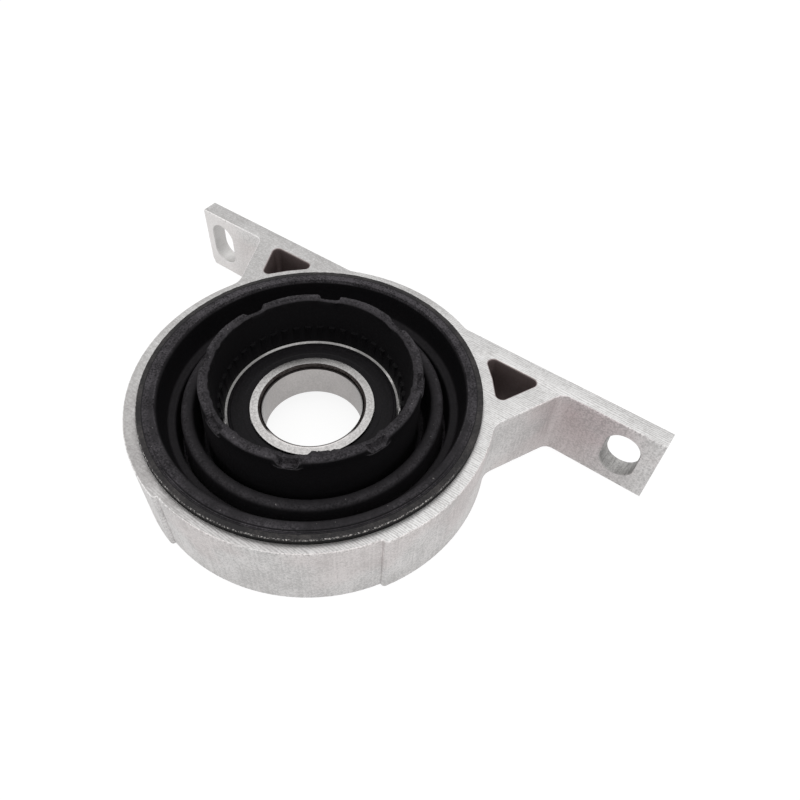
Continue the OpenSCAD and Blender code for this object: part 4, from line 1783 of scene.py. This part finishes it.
@dataclass
class Studio:
    """A white floor, soft light from above and the camera."""

    floor_z: float = -11.5
    floor_gap: float = 0.02
    floor_half: float = 3.0
    floor_tone: float = 0.86
    lens: float = 30.83
    sensor: float = 36.0
    clip: Span = (0.01, 20.0)
    spot: Spot = (89.1, -92.9, 165.6)
    azimuth: float = 37.48
    elevation: float = 49.10
    shift: Span = (0.0504, -0.0270)
    fill: float = 0.60
    floor_glow: float = 1.12
    seen_glow: float = 0.8
    mirrored_glow: float = 0.3
    lamps: tuple[Lamp, ...] = (
        Lamp("top_lamp", (-0.05, 0.10, 0.75), 0.9, 1.8),
        Lamp("left_lamp", (-0.75, -0.45, 0.35), 0.6, 1.2),
        Lamp("right_lamp", (0.80, -0.10, 0.40), 0.6, 1.0),
    )

    def build(self) -> None:
        """Sets up the floor, world, lamps and camera."""
        self.make_floor()
        self.make_world()
        for lamp in self.lamps:
            self.make_lamp(lamp)
        self.make_camera()
        bpy.context.scene.view_settings.view_transform = "Standard"

    def make_floor(self) -> None:
        """A wide pale floor that the camera sees as white, with part of the object's shadow."""
        half, z = self.floor_half, (self.floor_z - self.floor_gap) * MM
        corners = [(-half, -half, z), (half, -half, z), (half, half, z), (-half, half, z)]
        mesh = bpy.data.meshes.new("floor")
        mesh.from_pydata(corners, [], [(0, 1, 2, 3)])
        b = Board.of_material("pale_floor")
        tone = self.floor_tone
        soft = b.node("ShaderNodeBsdfDiffuse", None, {"Color": (tone, tone, tone, 1.0)})
        white = b.node("ShaderNodeEmission", None, {"Color": WHITE, "Strength": self.floor_glow})
        seen = b.ray(Ray.CAMERA) * self.seen_glow
        share = seen + (b.ray(Ray.GLOSSY) + b.ray(Ray.THROUGH)) * self.mirrored_glow
        mixed = b.node("ShaderNodeMixShader", None, {0: share, 1: soft, 2: white})
        mesh.materials.append(b.end(mixed))
        floor = bpy.data.objects.new("floor", mesh)
        bpy.context.scene.collection.objects.link(floor)

    def make_world(self) -> None:
        """White to camera, mirror and see-through rays, and a softer fill for the rest."""
        b = Board.of_world("white_room")
        seen = b.ray(Ray.CAMERA) + b.ray(Ray.GLOSSY) + b.ray(Ray.THROUGH)
        strength = b.math("MINIMUM", seen, 1.0) * (1.0 - self.fill) + self.fill
        light = b.node("ShaderNodeBackground", None, {"Color": WHITE, "Strength": strength})
        bpy.context.scene.world = b.end(light)

    def make_lamp(self, lamp: Lamp) -> None:
        """Hangs a lamp so that it faces the part.

        Args:
            lamp: Its name, place, width and watts.
        """
        data = bpy.data.lights.new(lamp.name, "AREA")
        data.size, data.energy = lamp.size, lamp.watts
        hung = bpy.data.objects.new(lamp.name, data)
        hung.location = lamp.spot
        hung.rotation_euler = (-Vector(lamp.spot)).to_track_quat("-Z", "Y").to_euler()
        bpy.context.scene.collection.objects.link(hung)

    def make_camera(self) -> None:
        """The camera, looking down along (-sin a cos e, cos a cos e, -sin e)."""
        data = bpy.data.cameras.new("camera")
        data.lens, data.sensor_width = self.lens, self.sensor
        data.shift_x, data.shift_y = self.shift
        data.clip_start, data.clip_end = self.clip
        camera = bpy.data.objects.new("camera", data)
        a, e = math.radians(self.azimuth), math.radians(self.elevation)
        ahead = Vector((-math.sin(a) * math.cos(e), math.cos(a) * math.cos(e), -math.sin(e)))
        camera.location = Vector(self.spot) * MM
        camera.rotation_euler = ahead.to_track_quat("-Z", "Y").to_euler()
        bpy.context.scene.collection.objects.link(camera)
        bpy.context.scene.camera = camera


def main() -> None:
    """Builds the studio and the pieces in order."""
    logging.basicConfig(level=logging.INFO, format="%(name)s: %(message)s")
    Studio().build()
    Bracket().build([ExtrudedSkin().material(), SawnFace().material(), MilledSlot().material()])
    Sleeve().build(CoatedSteel().material())
    Bellows().build(DustyRubber().material())
    seal_rubber = SealRubber().material()
    Seal().build("front_seal_ring", "front_seal", 1, seal_rubber)
    Seal().build("rear_seal_ring", "rear_seal", -1, seal_rubber)
    Bearing().dress()


if __name__ == "__main__":
    main()
